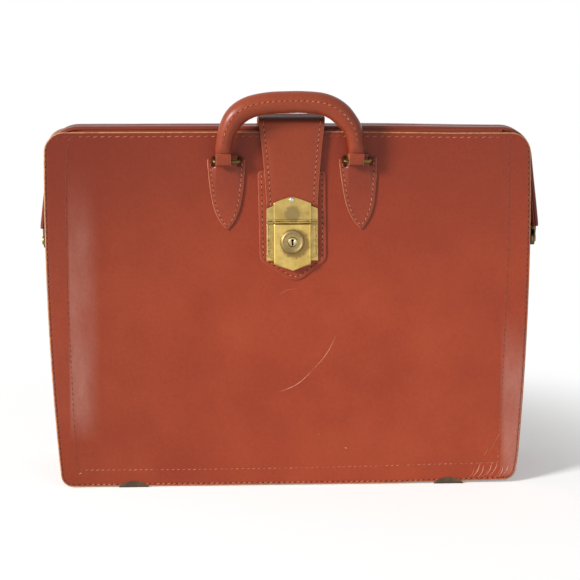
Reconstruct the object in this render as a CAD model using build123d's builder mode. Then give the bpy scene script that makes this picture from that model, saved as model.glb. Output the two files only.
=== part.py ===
from build123d import *
from math import asin, cos, degrees, radians, sin, sqrt, tan
import os

# Frame-top leather briefcase, closed, standing on its feet.
# Millimetres. +X to the right as seen from the front, front faces -Y, +Z up.
# Origin on the floor, under the middle of the case.

os.makedirs("parts", exist_ok=True)

# Driving dimensions of the leather body
PANEL_W = 432.0  # widest, near the top
PANEL_H = 316.0  # along the sloping face
WIDEST_V = 262.0  # how far up the panel is widest
SIDE_R = 2700.0  # bow of the side edges
TOP_CORNER_R = 18.0
BOTTOM_CORNER_R = 11.0
HIDE = 3.0  # front and back panels
BASE_D = 116.0  # front to back at the floor
TOP_D = 36.79  # front to back over the panels' top edges
BODY_X = -2.5  # the body's middle lies this far left of the frame, strap and lock
EDGE_Z = 0.9  # the panels' lower edges, held off the floor by the feet
SEAM = 8.0  # raw-edged seam outside the gusset
LINE_IN = 17.5  # inner row of stitches, in from the edge
GAP = 0.1  # flat leather on flat leather
PIN_FIT = 0.05  # pin in its own hole, on the radius
RUN_FIT = 0.3  # loose wire in a leather loop, on the radius

lean = asin((BASE_D - TOP_D) / 2 / PANEL_H)  # each panel leans in 7.2 degrees
front_out, back_out = (0, -cos(lean), sin(lean)), (0, cos(lean), sin(lean))
# Outer faces of the panels: one plane for the body, one for what is fitted to it
FRONT = Plane((BODY_X, -BASE_D / 2, 0), x_dir=(1, 0, 0), z_dir=front_out)
BACK = Plane((BODY_X, BASE_D / 2, 0), x_dir=(-1, 0, 0), z_dir=back_out)
FRONT_FIT = Plane((0, -BASE_D / 2, 0), x_dir=(1, 0, 0), z_dir=front_out)
BACK_FIT = Plane((0, BASE_D / 2, 0), x_dir=(-1, 0, 0), z_dir=back_out)
OUTWARD = Axis((0, 0, 0), front_out)


def side_x(v):
    """Half the panel's width at a height along its face."""
    return PANEL_W / 2 - (v - WIDEST_V) ** 2 / (2 * SIDE_R)


def inner_y(z, back_from_face=HIDE):
    """Distance of a panel's inner face from the middle plane at a height."""
    return BASE_D / 2 - z * tan(lean) - back_from_face / cos(lean)


def face_point(v, n):
    """(y, z) of a point on the front, v up the panel and n out of its face."""
    return -BASE_D / 2 + v * sin(lean) - n * cos(lean), v * cos(lean) + n * sin(lean)


def panel_sketch(inset=0.0, top=None):
    """The panel's outline, or one that runs a stitch row's distance inside it."""
    high = PANEL_H if top is None else top
    mid = PANEL_H / 2
    with BuildSketch() as outline:
        with BuildLine():
            right = ThreePointArc(
                (side_x(0) - inset, inset),
                (side_x(mid) - inset, mid),
                (side_x(high) - inset, high),
            )
            Line(right @ 1, (-side_x(high) + inset, high))
            left = ThreePointArc(
                (-side_x(high) + inset, high),
                (-side_x(mid) + inset, mid),
                (-side_x(0) + inset, inset),
            )
            Line(left @ 1, right @ 0)
        make_face()
        if top is None:
            fillet(outline.vertices().group_by(Axis.Y)[-1], TOP_CORNER_R)
        low_r = max(BOTTOM_CORNER_R - inset / 2, 3)
        fillet(outline.vertices().group_by(Axis.Y)[0], low_r)
    return outline.sketch


def label_and_save(part, name):
    part.label = name
    export_step(part, f"parts/{name}.step")


# Lock layout on the front panel, v up the face and n out of it, placed from the knob
KNOB_V = 218.7
KNOB_R = 10.35
KNOB_T = 3.6
KNOB_TRAVEL = 4.5
STEM_R = 2.9
PLUG_R = 3.85
PLUG_DEEP = 2.6
PATCH_T = 2.0
PATCH_W = 62.0
PATCH_TOP = KNOB_V + 62.3
PATCH_LOW = KNOB_V - 15.7
PATCH_TIP = KNOB_V - 34.7
LOCK_W = 45.6
LOCK_LOW = KNOB_V - 16.7
LOCK_TOP = KNOB_V + 16.0
LOCK_MID_W = 32.8
LOCK_TIP = KNOB_V - 25.9
PLATE_T = 1.0
WING_T = 2.5
RAISED_T = 2.3
WALL = 1.2
POST_R = 1.5
POST_X, POST_V = 19.4, (KNOB_V - 12.5, KNOB_V + 12.3)
BOLT_T = 1.4
BOLT_W = 10.0
BOLT_LOW = KNOB_V - 5.7
NOSE_V = KNOB_V + 22.8
CAVITY_LOW = KNOB_V - 13.7
CAVITY_W = 24.0
STAPLE_V, STAPLE_H, STAPLE_W = KNOB_V + 18.8, 3.0, 14.0

LOCK_N = PATCH_T + PLATE_T
WING_N = LOCK_N + WING_T
RAISED_N = WING_N + RAISED_T
BACKPLATE_T = 1.0
LINING_T = 1.0

# Strap
STRAP_T = 3.2
STRAP_N = PATCH_T + 0.3  # its inner face, out from the panel
STRAP_TOP_W = 59.0
STRAP_END_W = 45.0
STRAP_END_V = KNOB_V + 29.3
STRAP_SPLIT_V = PANEL_H - 0.5
STRAP_BEND_R = 6.9
STRAP_BACK_N = 0.3
STRAP_ANCHOR_LOW = 246.0
ANCHOR_TIP = 18.0

# Hasp
HASP_LOW = LOCK_TOP + 0.6
HASP_TOP = KNOB_V + 39.8
HASP_T = 1.0
HASP_N = STRAP_N + STRAP_T
RIVET_V = KNOB_V + 37.3
RIVET_R = 1.2

# Frame: two steel jaws in leather covers
PIVOT_Z = 214.1
LEG_X = 220.0
CORNER_X = 209.5
BAR_Z = 314.3
BAR_CORNER_R = 24.0
BAR_W, BAR_T = 9.0, 3.0
COVER_W, COVER_T, COVER_R = 12.8, 7.0, 3.3
JAW_Y = 6.8  # middle of a jaw, from the middle plane
METAL_Z = PIVOT_Z + 9.5
COVER_Z = PIVOT_Z + 12.5
LEG_BEND_Z = PIVOT_Z + 15.0
LUG_R = 6.5
LUG_T = BAR_T / 2 - GAP
PIVOT_R = 2.5
PIVOT_HEAD_R = 4.2
PIVOT_HEAD_T = 1.3

# Handle
HANDLE_X = 57.5
CHAPE_W = 35.0
CHAPE_TOP, CHAPE_TIP, CHAPE_WAIST_V = 292.6, 229.5, 249.0
CHAPE_WAIST_W = 21.5
CHAPE_T = 2.4
LOOP_T = 1.5
WIRE_R = 1.6
RING_W = 26.5
RING_D = 9.5
RING_DROP = 20.0  # degrees that the rings hang below level
RING_V, RING_N = 293.5, 3.6
LOOP_W = RING_W - 4 * WIRE_R - 1.5
GRIP_R = 8.7
CORE_R = 5.5
GRIP_TOP_Z = 341.5
GRIP_TOP_X = 48.6  # where the legs' lines meet the arch's top
GRIP_FROM_Z = 300.0
GRIP_LOOP_W = 14.5  # the flattened end that folds round the ring

# Feet
FOOT_X = 139.5
FOOT_R = 17.0
FOOT_H = 7.6
FOOT_T = 1.0
FOOT_TURN, FOOT_TURN_W = 6.0, 25.0  # the part turned in under the panel


def post_circles(radius):
    """The four posts' cross-sections."""
    with BuildSketch() as circles:
        for v in POST_V:
            with Locations((-POST_X, v), (POST_X, v)):
                Circle(radius)
    return circles.sketch


# Panels
# Front panel, with the holes of the lock posts
with BuildPart() as front_panel:
    with BuildSketch(FRONT):
        add(panel_sketch())
    extrude(amount=-HIDE)
    with BuildSketch(FRONT_FIT):
        add(post_circles(POST_R + PIN_FIT))
    extrude(amount=-HIDE, mode=Mode.SUBTRACT)
    split(bisect_by=Plane.XY.offset(EDGE_Z), keep=Keep.TOP)
    fillet(front_panel.faces().sort_by(OUTWARD)[-1]
           .outer_wire().edges(), 0.6)

with BuildPart() as back_panel:
    with BuildSketch(BACK):
        add(panel_sketch())
    extrude(amount=-HIDE)
    split(bisect_by=Plane.XY.offset(EDGE_Z), keep=Keep.TOP)
    fillet(back_panel.faces().sort_by(Axis((0, 0, 0), back_out))[-1]
           .outer_wire().edges(), 0.6)

# Linings, up to the hems. The front one leaves room for the lock's back plate
HEM_LOW, HEM_TOP, BACK_HEM_TOP = PANEL_H - 18.0, PANEL_H - 0.8, PANEL_H - 8.5
HEM_T = 1.4
HINGE_Z = BAR_Z - 1.5
FOLD_R, FOLD_GAP = 0.7, 0.2
BACKPLATE_W = 48.0
BACKPLATE_LOW, BACKPLATE_TOP = KNOB_V - 17.7, KNOB_V + 17.3

with BuildPart() as front_lining:
    with BuildSketch(FRONT.offset(-HIDE)):
        add(panel_sketch(LINE_IN, HEM_LOW - 1))
        with Locations((-BODY_X, (BACKPLATE_LOW + BACKPLATE_TOP) / 2)):
            Rectangle(BACKPLATE_W + 1, BACKPLATE_TOP - BACKPLATE_LOW + 1,
                      mode=Mode.SUBTRACT)
    extrude(amount=-LINING_T)

with BuildPart() as back_lining:
    with BuildSketch(BACK.offset(-HIDE)):
        add(panel_sketch(LINE_IN, HEM_LOW - 1))
    extrude(amount=-LINING_T)

# Flat pocket sewn to the front lining, its mouth cut in a shallow curve
POCKET_TOP, POCKET_T = 190.0, 1.4
MOUTH_R, MOUTH_DIP = 90.0, 12.0
with BuildPart() as document_pocket:
    with BuildSketch(FRONT.offset(-HIDE - LINING_T)):
        add(panel_sketch(LINE_IN + 0.5, POCKET_TOP))
        with Locations((0, POCKET_TOP)):
            Ellipse(MOUTH_R, MOUTH_DIP, mode=Mode.SUBTRACT)
    extrude(amount=-POCKET_T)

# Hems: the lower edge of each jaw's cover, sewn to the panel along the top
HEM_HALF = CORNER_X - BAR_CORNER_R - 4.0
with BuildPart() as front_hem:
    with BuildSketch(FRONT_FIT.offset(-HIDE)):
        with Locations((0, (HEM_LOW + HEM_TOP) / 2)):
            Rectangle(2 * HEM_HALF, HEM_TOP - HEM_LOW)
    extrude(amount=-HEM_T)
    # the fold that the jaw turns on, a bead whose middle is the hinge line
    with BuildSketch(Plane.YZ):
        with Locations((-JAW_Y - COVER_W / 2 - FOLD_GAP - FOLD_R, HINGE_Z)):
            Circle(FOLD_R)
    extrude(amount=HEM_HALF, both=True)

# The back jaw's fold is left open, so its hem ends below the jaw
with BuildPart() as back_hem:
    with BuildSketch(BACK_FIT.offset(-HIDE)):
        with Locations((0, (HEM_LOW + BACK_HEM_TOP) / 2)):
            Rectangle(2 * HEM_HALF, BACK_HEM_TOP - HEM_LOW)
    extrude(amount=-HEM_T)


# Base
BASE_Z, BASE_T = 8.0, 2.6
BOARD_T = 2.0
BASE_X = side_x(BASE_Z) - SEAM - 1.0
FLANGE_Z, FLANGE_T = 2.0, 2.4  # clear of the feet's turned-in edges as the sides open

# Leather base with its front and back edges turned down inside the panels
with BuildPart() as base_panel:
    with BuildSketch(Plane.YZ.offset(BODY_X)):
        low, high = FLANGE_Z, BASE_Z + BASE_T
        half = [
            (inner_y(low) - GAP, low),
            (inner_y(low) - GAP - FLANGE_T, low),
            (inner_y(BASE_Z) - GAP - FLANGE_T, BASE_Z),
        ]
        with BuildLine():
            Polyline(
                (inner_y(high) - GAP, high),
                *half,
                *[(-y, z) for y, z in reversed(half)],
                (-inner_y(high) + GAP, high),
                close=True,
            )
        make_face()
    extrude(amount=BASE_X, both=True)
    edges_out = base_panel.edges().filter_by(Axis.X).group_by(Axis.Z)[-1]
    fillet(edges_out, 1.5)

with BuildPart() as base_board:
    with BuildSketch(Plane.XY.offset(BASE_Z + BASE_T)):
        with Locations((BODY_X, 0)):
            RectangleRounded(2 * (BASE_X - 5), 2 * (inner_y(20) - 5), 6)
    extrude(amount=BOARD_T)


# Gussets
GUSSET_T = 2.2
GUSSET_LOW = BASE_Z + BASE_T + GAP
GUSSET_SPLIT, GUSSET_TOP = 118.0, 298.0
FOLD_MAX = 47.0  # how deep the closed gusset folds in at the top


def fold_depth(z):
    """How far the crease lies inside the gusset's wall: an ease-in, then level."""
    s = min(max((z - 14) / (PIVOT_Z - 14), 0), 1)
    return 3 + (FOLD_MAX - 3) * s * s * (3 - 2 * s)


def gusset_section(z, side):
    """Cut through one gusset: a flange on each panel and a wall that folds inwards."""
    edge = side_x(z / cos(lean)) - GAP
    wall = edge - SEAM
    y = inner_y(z) - GAP
    depth = fold_depth(z)
    across = GUSSET_T * sqrt(1 + (depth / y) ** 2)
    half = [
        (wall - across, y),
        (edge, y),
        (edge, y - GUSSET_T),
        (wall, y - GUSSET_T),
    ]
    outside = [*half, (wall - depth, 0)]
    back = [(x, -q) for x, q in reversed(half)]
    points = [*outside, *back, (wall - depth - across, 0)]
    return [(BODY_X + side * x, q) for x, q in points]


def gusset(heights, side):
    """A gusset between the first and last of some heights, ruled between them."""
    with BuildPart() as wall:
        for z in heights:
            with BuildSketch(Plane.XY.offset(z)):
                with BuildLine():
                    Polyline(*gusset_section(z, side), close=True)
                make_face()
        loft(ruled=True)
    return wall.part


LOWER = [GUSSET_LOW, 45.0, 80.0, GUSSET_SPLIT]
UPPER = [GUSSET_SPLIT + GAP, 155.0, 190.0, 230.0, GUSSET_TOP]
with BuildPart() as gusset_left:
    add(gusset(LOWER, -1))
with BuildPart() as gusset_right:
    add(gusset(LOWER, 1))
with BuildPart() as gusset_fold_left:
    add(gusset(UPPER, -1))
with BuildPart() as gusset_fold_right:
    add(gusset(UPPER, 1))


# Frame
def jaw_path(start_z):
    """Points of a jaw's U, up one leg, along the top and down the other."""
    right = [(LEG_X, start_z), (LEG_X, LEG_BEND_Z), (CORNER_X, BAR_Z)]
    return [*right, *[(-x, z) for x, z in reversed(right)]]


def jaw_plane(side):
    """The plane of a jaw's U: side -1 is the front jaw, 1 the back one."""
    return Plane((0, side * JAW_Y, 0), x_dir=(1, 0, 0), z_dir=(0, -1, 0))


def jaw_steel(side):
    """A jaw: flat steel bent to a U, its ends thinned to half for the pivots."""
    # the front jaw's lugs lie outside, the back one's inside
    start = LEG_X + BAR_T / 2 - LUG_T if side < 0 else LEG_X - BAR_T / 2
    with BuildPart() as jaw:
        with BuildLine(jaw_plane(side)) as path:
            FilletPolyline(*jaw_path(METAL_Z), radius=BAR_CORNER_R)
        with BuildSketch(Plane(path.line @ 0, x_dir=(0, 1, 0), z_dir=path.line % 0)):
            RectangleRounded(BAR_W, BAR_T, 0.8)
        sweep(path=path.line)
        for hand in (1, -1):
            with BuildSketch(Plane((hand * start, 0, 0), x_dir=(0, 1, 0), z_dir=(hand, 0, 0))):
                with Locations((0, hand * PIVOT_Z)):
                    Circle(LUG_R)
                with Locations((side * JAW_Y, hand * (METAL_Z + 0.5))):
                    Rectangle(BAR_W - 1.6, 1.0)
                make_hull()
                with Locations((0, hand * PIVOT_Z)):
                    Circle(PIVOT_R + PIN_FIT, mode=Mode.SUBTRACT)
            extrude(amount=LUG_T)
    return jaw.part


def jaw_sleeve(side):
    """The leather round a jaw, open where the steel runs through it."""
    with BuildPart() as sleeve:
        with BuildLine(jaw_plane(side)) as path:
            FilletPolyline(*jaw_path(COVER_Z), radius=BAR_CORNER_R)
        with BuildSketch(Plane(path.line @ 0, x_dir=(0, 1, 0), z_dir=path.line % 0)):
            RectangleRounded(COVER_W, COVER_T, COVER_R)
            Rectangle(BAR_W + 2 * GAP, BAR_T + 2 * GAP, mode=Mode.SUBTRACT)
        sweep(path=path.line)
    return sleeve.part


with BuildPart() as front_frame:
    add(jaw_steel(-1))
with BuildPart() as back_frame:
    add(jaw_steel(1))
with BuildPart() as front_frame_cover:
    add(jaw_sleeve(-1))
with BuildPart() as back_frame_cover:
    add(jaw_sleeve(1))

# One rivet through both lugs at each end
with BuildPart() as pivot_rivets:
    for hand in (1, -1):
        out = Plane(
            (hand * LEG_X, 0, PIVOT_Z), x_dir=(0, 1, 0), z_dir=(hand, 0, 0)
        )
        reach = BAR_T / 2 + GAP
        with BuildSketch(out.offset(-reach)):
            Circle(PIVOT_R)
        extrude(amount=2 * reach)
        for end, head_side in ((reach, 1), (-reach, -1)):
            with BuildSketch(out.offset(end)):
                Circle(PIVOT_HEAD_R)
            extrude(amount=head_side * PIVOT_HEAD_T, taper=25)


# Lock
def shield(width, top, low, tip):
    """A tab with straight sides and a rounded lower end."""
    with BuildSketch() as tab:
        with BuildLine():
            Polyline((-width / 2 + 1.2, low), (-width / 2, top), (width / 2, top),
                     (width / 2 - 1.2, low))
            ThreePointArc((width / 2 - 1.2, low), (0, tip), (-width / 2 + 1.2, low))
        make_face()
        fillet(tab.vertices().group_by(Axis.Y)[-1], 2.0)
    return tab.sketch


def lock_outline(top):
    """Wings above, and a pointed tail below the middle."""
    half, mid = LOCK_W / 2, LOCK_MID_W / 2
    with BuildSketch() as plate:
        with BuildLine():
            Polyline((half, LOCK_LOW), (half, top), (-half, top), (-half, LOCK_LOW),
                     (-mid, LOCK_LOW), (-mid, LOCK_LOW - 3.4))
            Line((-mid, LOCK_LOW - 3.4), (0, LOCK_TIP))
            Line((0, LOCK_TIP), (mid, LOCK_LOW - 3.4))
            Polyline((mid, LOCK_LOW - 3.4), (mid, LOCK_LOW), (half, LOCK_LOW))
        make_face()
        fillet(plate.vertices().sort_by(Axis.Y)[0], 6.0)
    return plate.sketch


with BuildPart() as lock_patch:
    with BuildSketch(FRONT_FIT):
        add(shield(PATCH_W, PATCH_TOP, PATCH_LOW, PATCH_TIP))
        add(post_circles(POST_R + PIN_FIT), mode=Mode.SUBTRACT)
    extrude(amount=PATCH_T)

BASE_TOP = STRAP_END_V - 1.0
with BuildPart() as lock_plate:
    with BuildSketch(FRONT_FIT.offset(PATCH_T)):
        add(lock_outline(BASE_TOP))
        # room behind the staple
        with Locations((0, STAPLE_V + STAPLE_H / 2)):
            Rectangle(STAPLE_W + 1.6, STAPLE_H + 3.0, mode=Mode.SUBTRACT)
        add(post_circles(POST_R + PIN_FIT), mode=Mode.SUBTRACT)
    extrude(amount=PLATE_T)

SLOT_HIGH = KNOB_V + STEM_R + 0.2
SLOT_LOW = KNOB_V - KNOB_TRAVEL - STEM_R - 0.2
with BuildPart() as lock_cover:
    with BuildSketch(FRONT_FIT.offset(LOCK_N)):
        add(lock_outline(LOCK_TOP))
    extrude(amount=WING_N - LOCK_N)
    # raised middle with its pointed tail and chamfered sides
    with BuildSketch(FRONT_FIT.offset(WING_N)):
        half = LOCK_MID_W / 2
        with BuildLine():
            Polyline((half - 0.8, LOCK_TOP), (-half + 0.8, LOCK_TOP),
                     (-half + 0.8, LOCK_LOW - 3.0), (0, LOCK_TIP + 1.2),
                     (half - 0.8, LOCK_LOW - 3.0), close=True)
        make_face()
    raised = extrude(amount=RAISED_N - WING_N)
    chamfer(lock_cover.faces().sort_by(OUTWARD)[-1]
            .edges(), 0.9)
    # hollow for the bolt, open upwards
    with BuildSketch(FRONT_FIT.offset(LOCK_N)):
        with Locations((0, (CAVITY_LOW + LOCK_TOP) / 2)):
            Rectangle(CAVITY_W, LOCK_TOP - CAVITY_LOW)
    extrude(amount=RAISED_N - WALL - LOCK_N, mode=Mode.SUBTRACT)
    # the knob's slot
    with BuildSketch(FRONT_FIT.offset(LOCK_N)):
        with Locations((0, (SLOT_LOW + SLOT_HIGH) / 2)):
            SlotOverall(SLOT_HIGH - SLOT_LOW, 2 * (STEM_R + 0.2), rotation=90)
    extrude(amount=RAISED_N, mode=Mode.SUBTRACT)

BOLT_N = LOCK_N + 0.9
with BuildPart() as lock_bolt:
    with BuildSketch(FRONT_FIT.offset(BOLT_N)):
        with Locations((0, (BOLT_LOW + NOSE_V) / 2)):
            Rectangle(BOLT_W, NOSE_V - BOLT_LOW)
        with Locations((0, (BOLT_LOW + KNOB_V + 8) / 2)):
            Rectangle(BOLT_W + 6, KNOB_V + 8 - BOLT_LOW)
    extrude(amount=BOLT_T)
    nose = lock_bolt.edges().sort_by(Axis((0, 0, 0), (0, sin(lean), cos(lean))))[-1]
    chamfer(nose, 0.9)

KNOB_N = RAISED_N + 0.2
with BuildPart() as lock_knob:
    with BuildSketch(FRONT_FIT.offset(BOLT_N + BOLT_T)):
        with Locations((0, KNOB_V)):
            Circle(STEM_R)
    extrude(amount=KNOB_N - BOLT_N - BOLT_T)
    with BuildSketch(FRONT_FIT.offset(KNOB_N)):
        with Locations((0, KNOB_V)):
            Circle(KNOB_R)
    extrude(amount=KNOB_T)
    rim = lock_knob.faces().sort_by(OUTWARD)[-1]
    chamfer(rim.edges(), 1.3)
    # shallow dish inside the bevelled rim, and the plug's bore
    with BuildSketch(FRONT_FIT.offset(KNOB_N + KNOB_T)):
        with Locations((0, KNOB_V)):
            Circle(KNOB_R - 2.6)
    extrude(amount=-0.6, mode=Mode.SUBTRACT)
    with BuildSketch(FRONT_FIT.offset(KNOB_N + KNOB_T)):
        with Locations((0, KNOB_V)):
            Circle(PLUG_R + PIN_FIT)
    extrude(amount=-PLUG_DEEP, mode=Mode.SUBTRACT)

with BuildPart() as key_plug:
    with BuildSketch(FRONT_FIT.offset(KNOB_N + KNOB_T - PLUG_DEEP + PIN_FIT)):
        with Locations((0, KNOB_V)):
            Circle(PLUG_R)
    extrude(amount=PLUG_DEEP - PIN_FIT)
    # keyhole: a round eye with a slit below it
    with BuildSketch(FRONT_FIT.offset(KNOB_N + KNOB_T)):
        with Locations((0, KNOB_V + 0.9)):
            Circle(1.1)
        with Locations((0, KNOB_V - 0.9)):
            Rectangle(0.9, 3.0)
    extrude(amount=-1.8, mode=Mode.SUBTRACT)

# Coil spring that pushes the bolt up, between the hollow's floor and the bolt
SPRING_R, SPRING_WIRE_R = 1.15, 0.3
with BuildPart() as bolt_spring:
    foot = face_point(CAVITY_LOW + 0.7, BOLT_N + BOLT_T / 2)
    with BuildLine() as coil:
        Helix(pitch=1.6, height=BOLT_LOW - CAVITY_LOW - 1.4, radius=SPRING_R,
              center=(0, *foot), direction=(0, sin(lean), cos(lean)))
    with BuildSketch(Plane(coil.line @ 0, z_dir=coil.line % 0)):
        Circle(SPRING_WIRE_R)
    sweep(path=coil.line, is_frenet=True)

# Posts of the lock plate, clinched over the back plate inside the case
CLINCH_R, CLINCH_T = 2.4, 0.8
with BuildPart() as lock_posts:
    with BuildSketch(FRONT_FIT.offset(-HIDE - BACKPLATE_T)):
        add(post_circles(POST_R))
    extrude(amount=HIDE + BACKPLATE_T + LOCK_N)
    with BuildSketch(FRONT_FIT.offset(-HIDE - BACKPLATE_T)):
        add(post_circles(CLINCH_R))
    extrude(amount=-CLINCH_T, taper=20)

with BuildPart() as lock_backplate:
    with BuildSketch(FRONT_FIT.offset(-HIDE)):
        with Locations((0, (BACKPLATE_LOW + BACKPLATE_TOP) / 2)):
            RectangleRounded(BACKPLATE_W, BACKPLATE_TOP - BACKPLATE_LOW, 3)
        add(post_circles(POST_R + PIN_FIT), mode=Mode.SUBTRACT)
    extrude(amount=-BACKPLATE_T)


# Hasp
def hasp_outline():
    """A low pediment: straight sides, shoulders and a rounded apex."""
    half = LOCK_W / 2
    with BuildSketch() as plate:
        with BuildLine():
            Polyline((-half, HASP_TOP - 9.5), (-half, HASP_LOW), (half, HASP_LOW),
                     (half, HASP_TOP - 9.5), (LOCK_MID_W / 2, HASP_TOP - 5.4))
            ThreePointArc((LOCK_MID_W / 2, HASP_TOP - 5.4), (0, HASP_TOP),
                          (-LOCK_MID_W / 2, HASP_TOP - 5.4))
            Line((-LOCK_MID_W / 2, HASP_TOP - 5.4), (-half, HASP_TOP - 9.5))
        make_face()
    return plate.sketch


LIP_H, LIP_N = 3.2, RAISED_N + 0.8
with BuildPart() as hasp_plate:
    with BuildSketch(FRONT_FIT.offset(HASP_N)):
        add(hasp_outline())
    extrude(amount=HASP_T)
    with BuildSketch(FRONT_FIT.offset(HASP_N + HASP_T)):
        with Locations((0, (HASP_LOW + HASP_TOP - 5.6) / 2)):
            Rectangle(LOCK_MID_W - 1.6, HASP_TOP - 5.6 - HASP_LOW)
    extrude(amount=RAISED_N - HASP_N - HASP_T)
    chamfer(hasp_plate.faces().sort_by(OUTWARD)[-1]
            .edges(), 0.8)
    # lip along the lower edge, to lift it by
    with BuildSketch(FRONT_FIT.offset(HASP_N)):
        with Locations((0, HASP_LOW + LIP_H / 2)):
            Rectangle(LOCK_W, LIP_H)
    extrude(amount=LIP_N - HASP_N)
    lip = hasp_plate.faces().sort_by(OUTWARD)[-1]
    fillet(lip.edges().filter_by(Axis.X), 0.9)
    with BuildSketch(FRONT_FIT.offset(HASP_N)):
        with Locations((0, RIVET_V)):
            Circle(RIVET_R + PIN_FIT)
    extrude(amount=RAISED_N, mode=Mode.SUBTRACT)

with BuildPart() as hasp_rivet:
    with BuildSketch(FRONT_FIT.offset(STRAP_N)):
        with Locations((0, RIVET_V)):
            Circle(RIVET_R)
    extrude(amount=STRAP_T + HASP_T)
    with BuildSketch(FRONT_FIT.offset(HASP_N + HASP_T)):
        with Locations((0, RIVET_V)):
            Circle(2.4)
    extrude(amount=1.2)
    fillet(hasp_rivet.faces().sort_by(OUTWARD)[-1]
           .edges(), 1.0)

# Staple behind the hasp, a bridge that the bolt's nose passes through
with BuildPart() as hasp_staple:
    with BuildSketch(FRONT_FIT.offset(STRAP_N)):
        with Locations((0, STAPLE_V + STAPLE_H / 2)):
            Rectangle(STAPLE_W, STAPLE_H)
    extrude(amount=HASP_N - STRAP_N)
    with BuildSketch(FRONT_FIT.offset(BOLT_N - 0.3)):
        with Locations((0, STAPLE_V + STAPLE_H / 2)):
            Rectangle(BOLT_W + 1.0, STAPLE_H)
    extrude(amount=HASP_N - BOLT_N + 0.3, mode=Mode.SUBTRACT)


# Strap
def strap_half(v):
    """Half the strap's width on the front: it tapers down to the hasp."""
    share = (STRAP_SPLIT_V - v) / (STRAP_SPLIT_V - STRAP_END_V)
    return (STRAP_TOP_W - share * (STRAP_TOP_W - STRAP_END_W)) / 2


# Over the top: bends at both edges of the frame and a level stretch between
bend_y, bend_z = face_point(STRAP_SPLIT_V, STRAP_N)
back_y, back_z = face_point(STRAP_SPLIT_V, STRAP_BACK_N)
front_centre = (bend_y + STRAP_BEND_R * cos(lean), bend_z - STRAP_BEND_R * sin(lean))
back_centre = (-back_y - STRAP_BEND_R * cos(lean), back_z - STRAP_BEND_R * sin(lean))
with BuildPart() as strap_top:
    with BuildSketch(Plane.YZ):
        with BuildLine():
            turn = 90 - degrees(lean)
            for r in (STRAP_BEND_R, STRAP_BEND_R + STRAP_T):
                front_bend = CenterArc(front_centre, r, 90, turn)
                back_bend = CenterArc(
                    (back_centre[0], front_centre[1]), r, degrees(lean), turn
                )
                Line(back_bend @ 1, front_bend @ 0)
                ends = (front_bend @ 1, back_bend @ 0)
                if r == STRAP_BEND_R:
                    inner_ends = ends
            Line(inner_ends[0], ends[0])
            Line(inner_ends[1], ends[1])
        make_face()
    extrude(amount=STRAP_TOP_W / 2, both=True)

with BuildPart() as strap_front:
    with BuildSketch(FRONT_FIT.offset(STRAP_N)):
        top = STRAP_SPLIT_V - GAP
        with BuildLine():
            Polyline((-strap_half(top), top), (-strap_half(STRAP_END_V), STRAP_END_V),
                     (strap_half(STRAP_END_V), STRAP_END_V), (strap_half(top), top),
                     close=True)
        make_face()
        with Locations((0, RIVET_V)):
            Circle(RIVET_R + PIN_FIT, mode=Mode.SUBTRACT)
    extrude(amount=STRAP_T)

# The strap's other end, sewn to the back panel
with BuildPart() as strap_anchor:
    with BuildSketch(BACK_FIT.offset(STRAP_BACK_N)):
        add(shield(STRAP_TOP_W, STRAP_SPLIT_V - GAP, STRAP_ANCHOR_LOW + ANCHOR_TIP,
                   STRAP_ANCHOR_LOW))
    extrude(amount=STRAP_T)


# Handle
ring_y, ring_z = face_point(RING_V, RING_N)
bar_y = ring_y - RING_D * cos(radians(RING_DROP))
bar_z = ring_z - RING_D * sin(radians(RING_DROP))


def chape_outline():
    """Half-width and height points of the tab, mirrored about its middle."""
    half, waist = CHAPE_W / 2, CHAPE_WAIST_W / 2
    with BuildSketch() as face:
        with BuildLine():
            ThreePointArc((-half, CHAPE_TOP), (0, CHAPE_TOP - 4.5), (half, CHAPE_TOP))
            Spline((half, CHAPE_TOP), (half - 2.6, (CHAPE_TOP + CHAPE_WAIST_V) / 2),
                   (waist, CHAPE_WAIST_V))
            ThreePointArc((waist, CHAPE_WAIST_V), (waist * 0.62, CHAPE_TIP + 7.0),
                          (0, CHAPE_TIP))
            mirror(about=Plane.YZ)
        make_face()
    return face.sketch


def chape(side):
    """Shield tab with two horns, and the fold that holds the ring's back bar."""
    x0 = side * HANDLE_X
    with BuildPart() as tab:
        with BuildSketch(FRONT_FIT):
            with Locations((x0, 0)):
                add(chape_outline())
        extrude(amount=CHAPE_T)
        # the doubled hide below the fold
        with BuildSketch(FRONT_FIT):
            with Locations((x0, RING_V - 5)):
                Rectangle(LOOP_W, 10)
        extrude(amount=CHAPE_T + 1.2)
        y, z = face_point(RING_V, RING_N)
        eye = Plane((x0, y, z), x_dir=(0, 1, 0), z_dir=(1, 0, 0))
        with BuildSketch(eye):
            Circle(WIRE_R + RUN_FIT + LOOP_T)
        extrude(amount=LOOP_W / 2, both=True)
        with BuildSketch(eye):
            Circle(WIRE_R + RUN_FIT)
        extrude(amount=CHAPE_W, both=True, mode=Mode.SUBTRACT)
        # nothing of the fold sinks into the panel
        with BuildSketch(FRONT_FIT):
            with Locations((x0, RING_V)):
                Rectangle(2 * CHAPE_W, 40)
        extrude(amount=-10, mode=Mode.SUBTRACT)
    return tab.part


with BuildPart() as chape_left:
    add(chape(-1))
with BuildPart() as chape_right:
    add(chape(1))


def ring(side):
    """A rectangular wire ring, hanging from its chape."""
    middle = Plane(
        (side * HANDLE_X, (ring_y + bar_y) / 2, (ring_z + bar_z) / 2),
        x_dir=(1, 0, 0),
        z_dir=(0, -sin(radians(RING_DROP)), cos(radians(RING_DROP))),
    )
    with BuildSketch(middle, mode=Mode.PRIVATE) as bend:
        RectangleRounded(RING_W - 2 * WIRE_R, RING_D, 2.4)
    wire = bend.sketch.face().outer_wire()
    with BuildPart() as loop:
        with BuildSketch(Plane(wire @ 0, z_dir=wire % 0)):
            Circle(WIRE_R)
        sweep(path=wire)
    return loop.part


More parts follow.
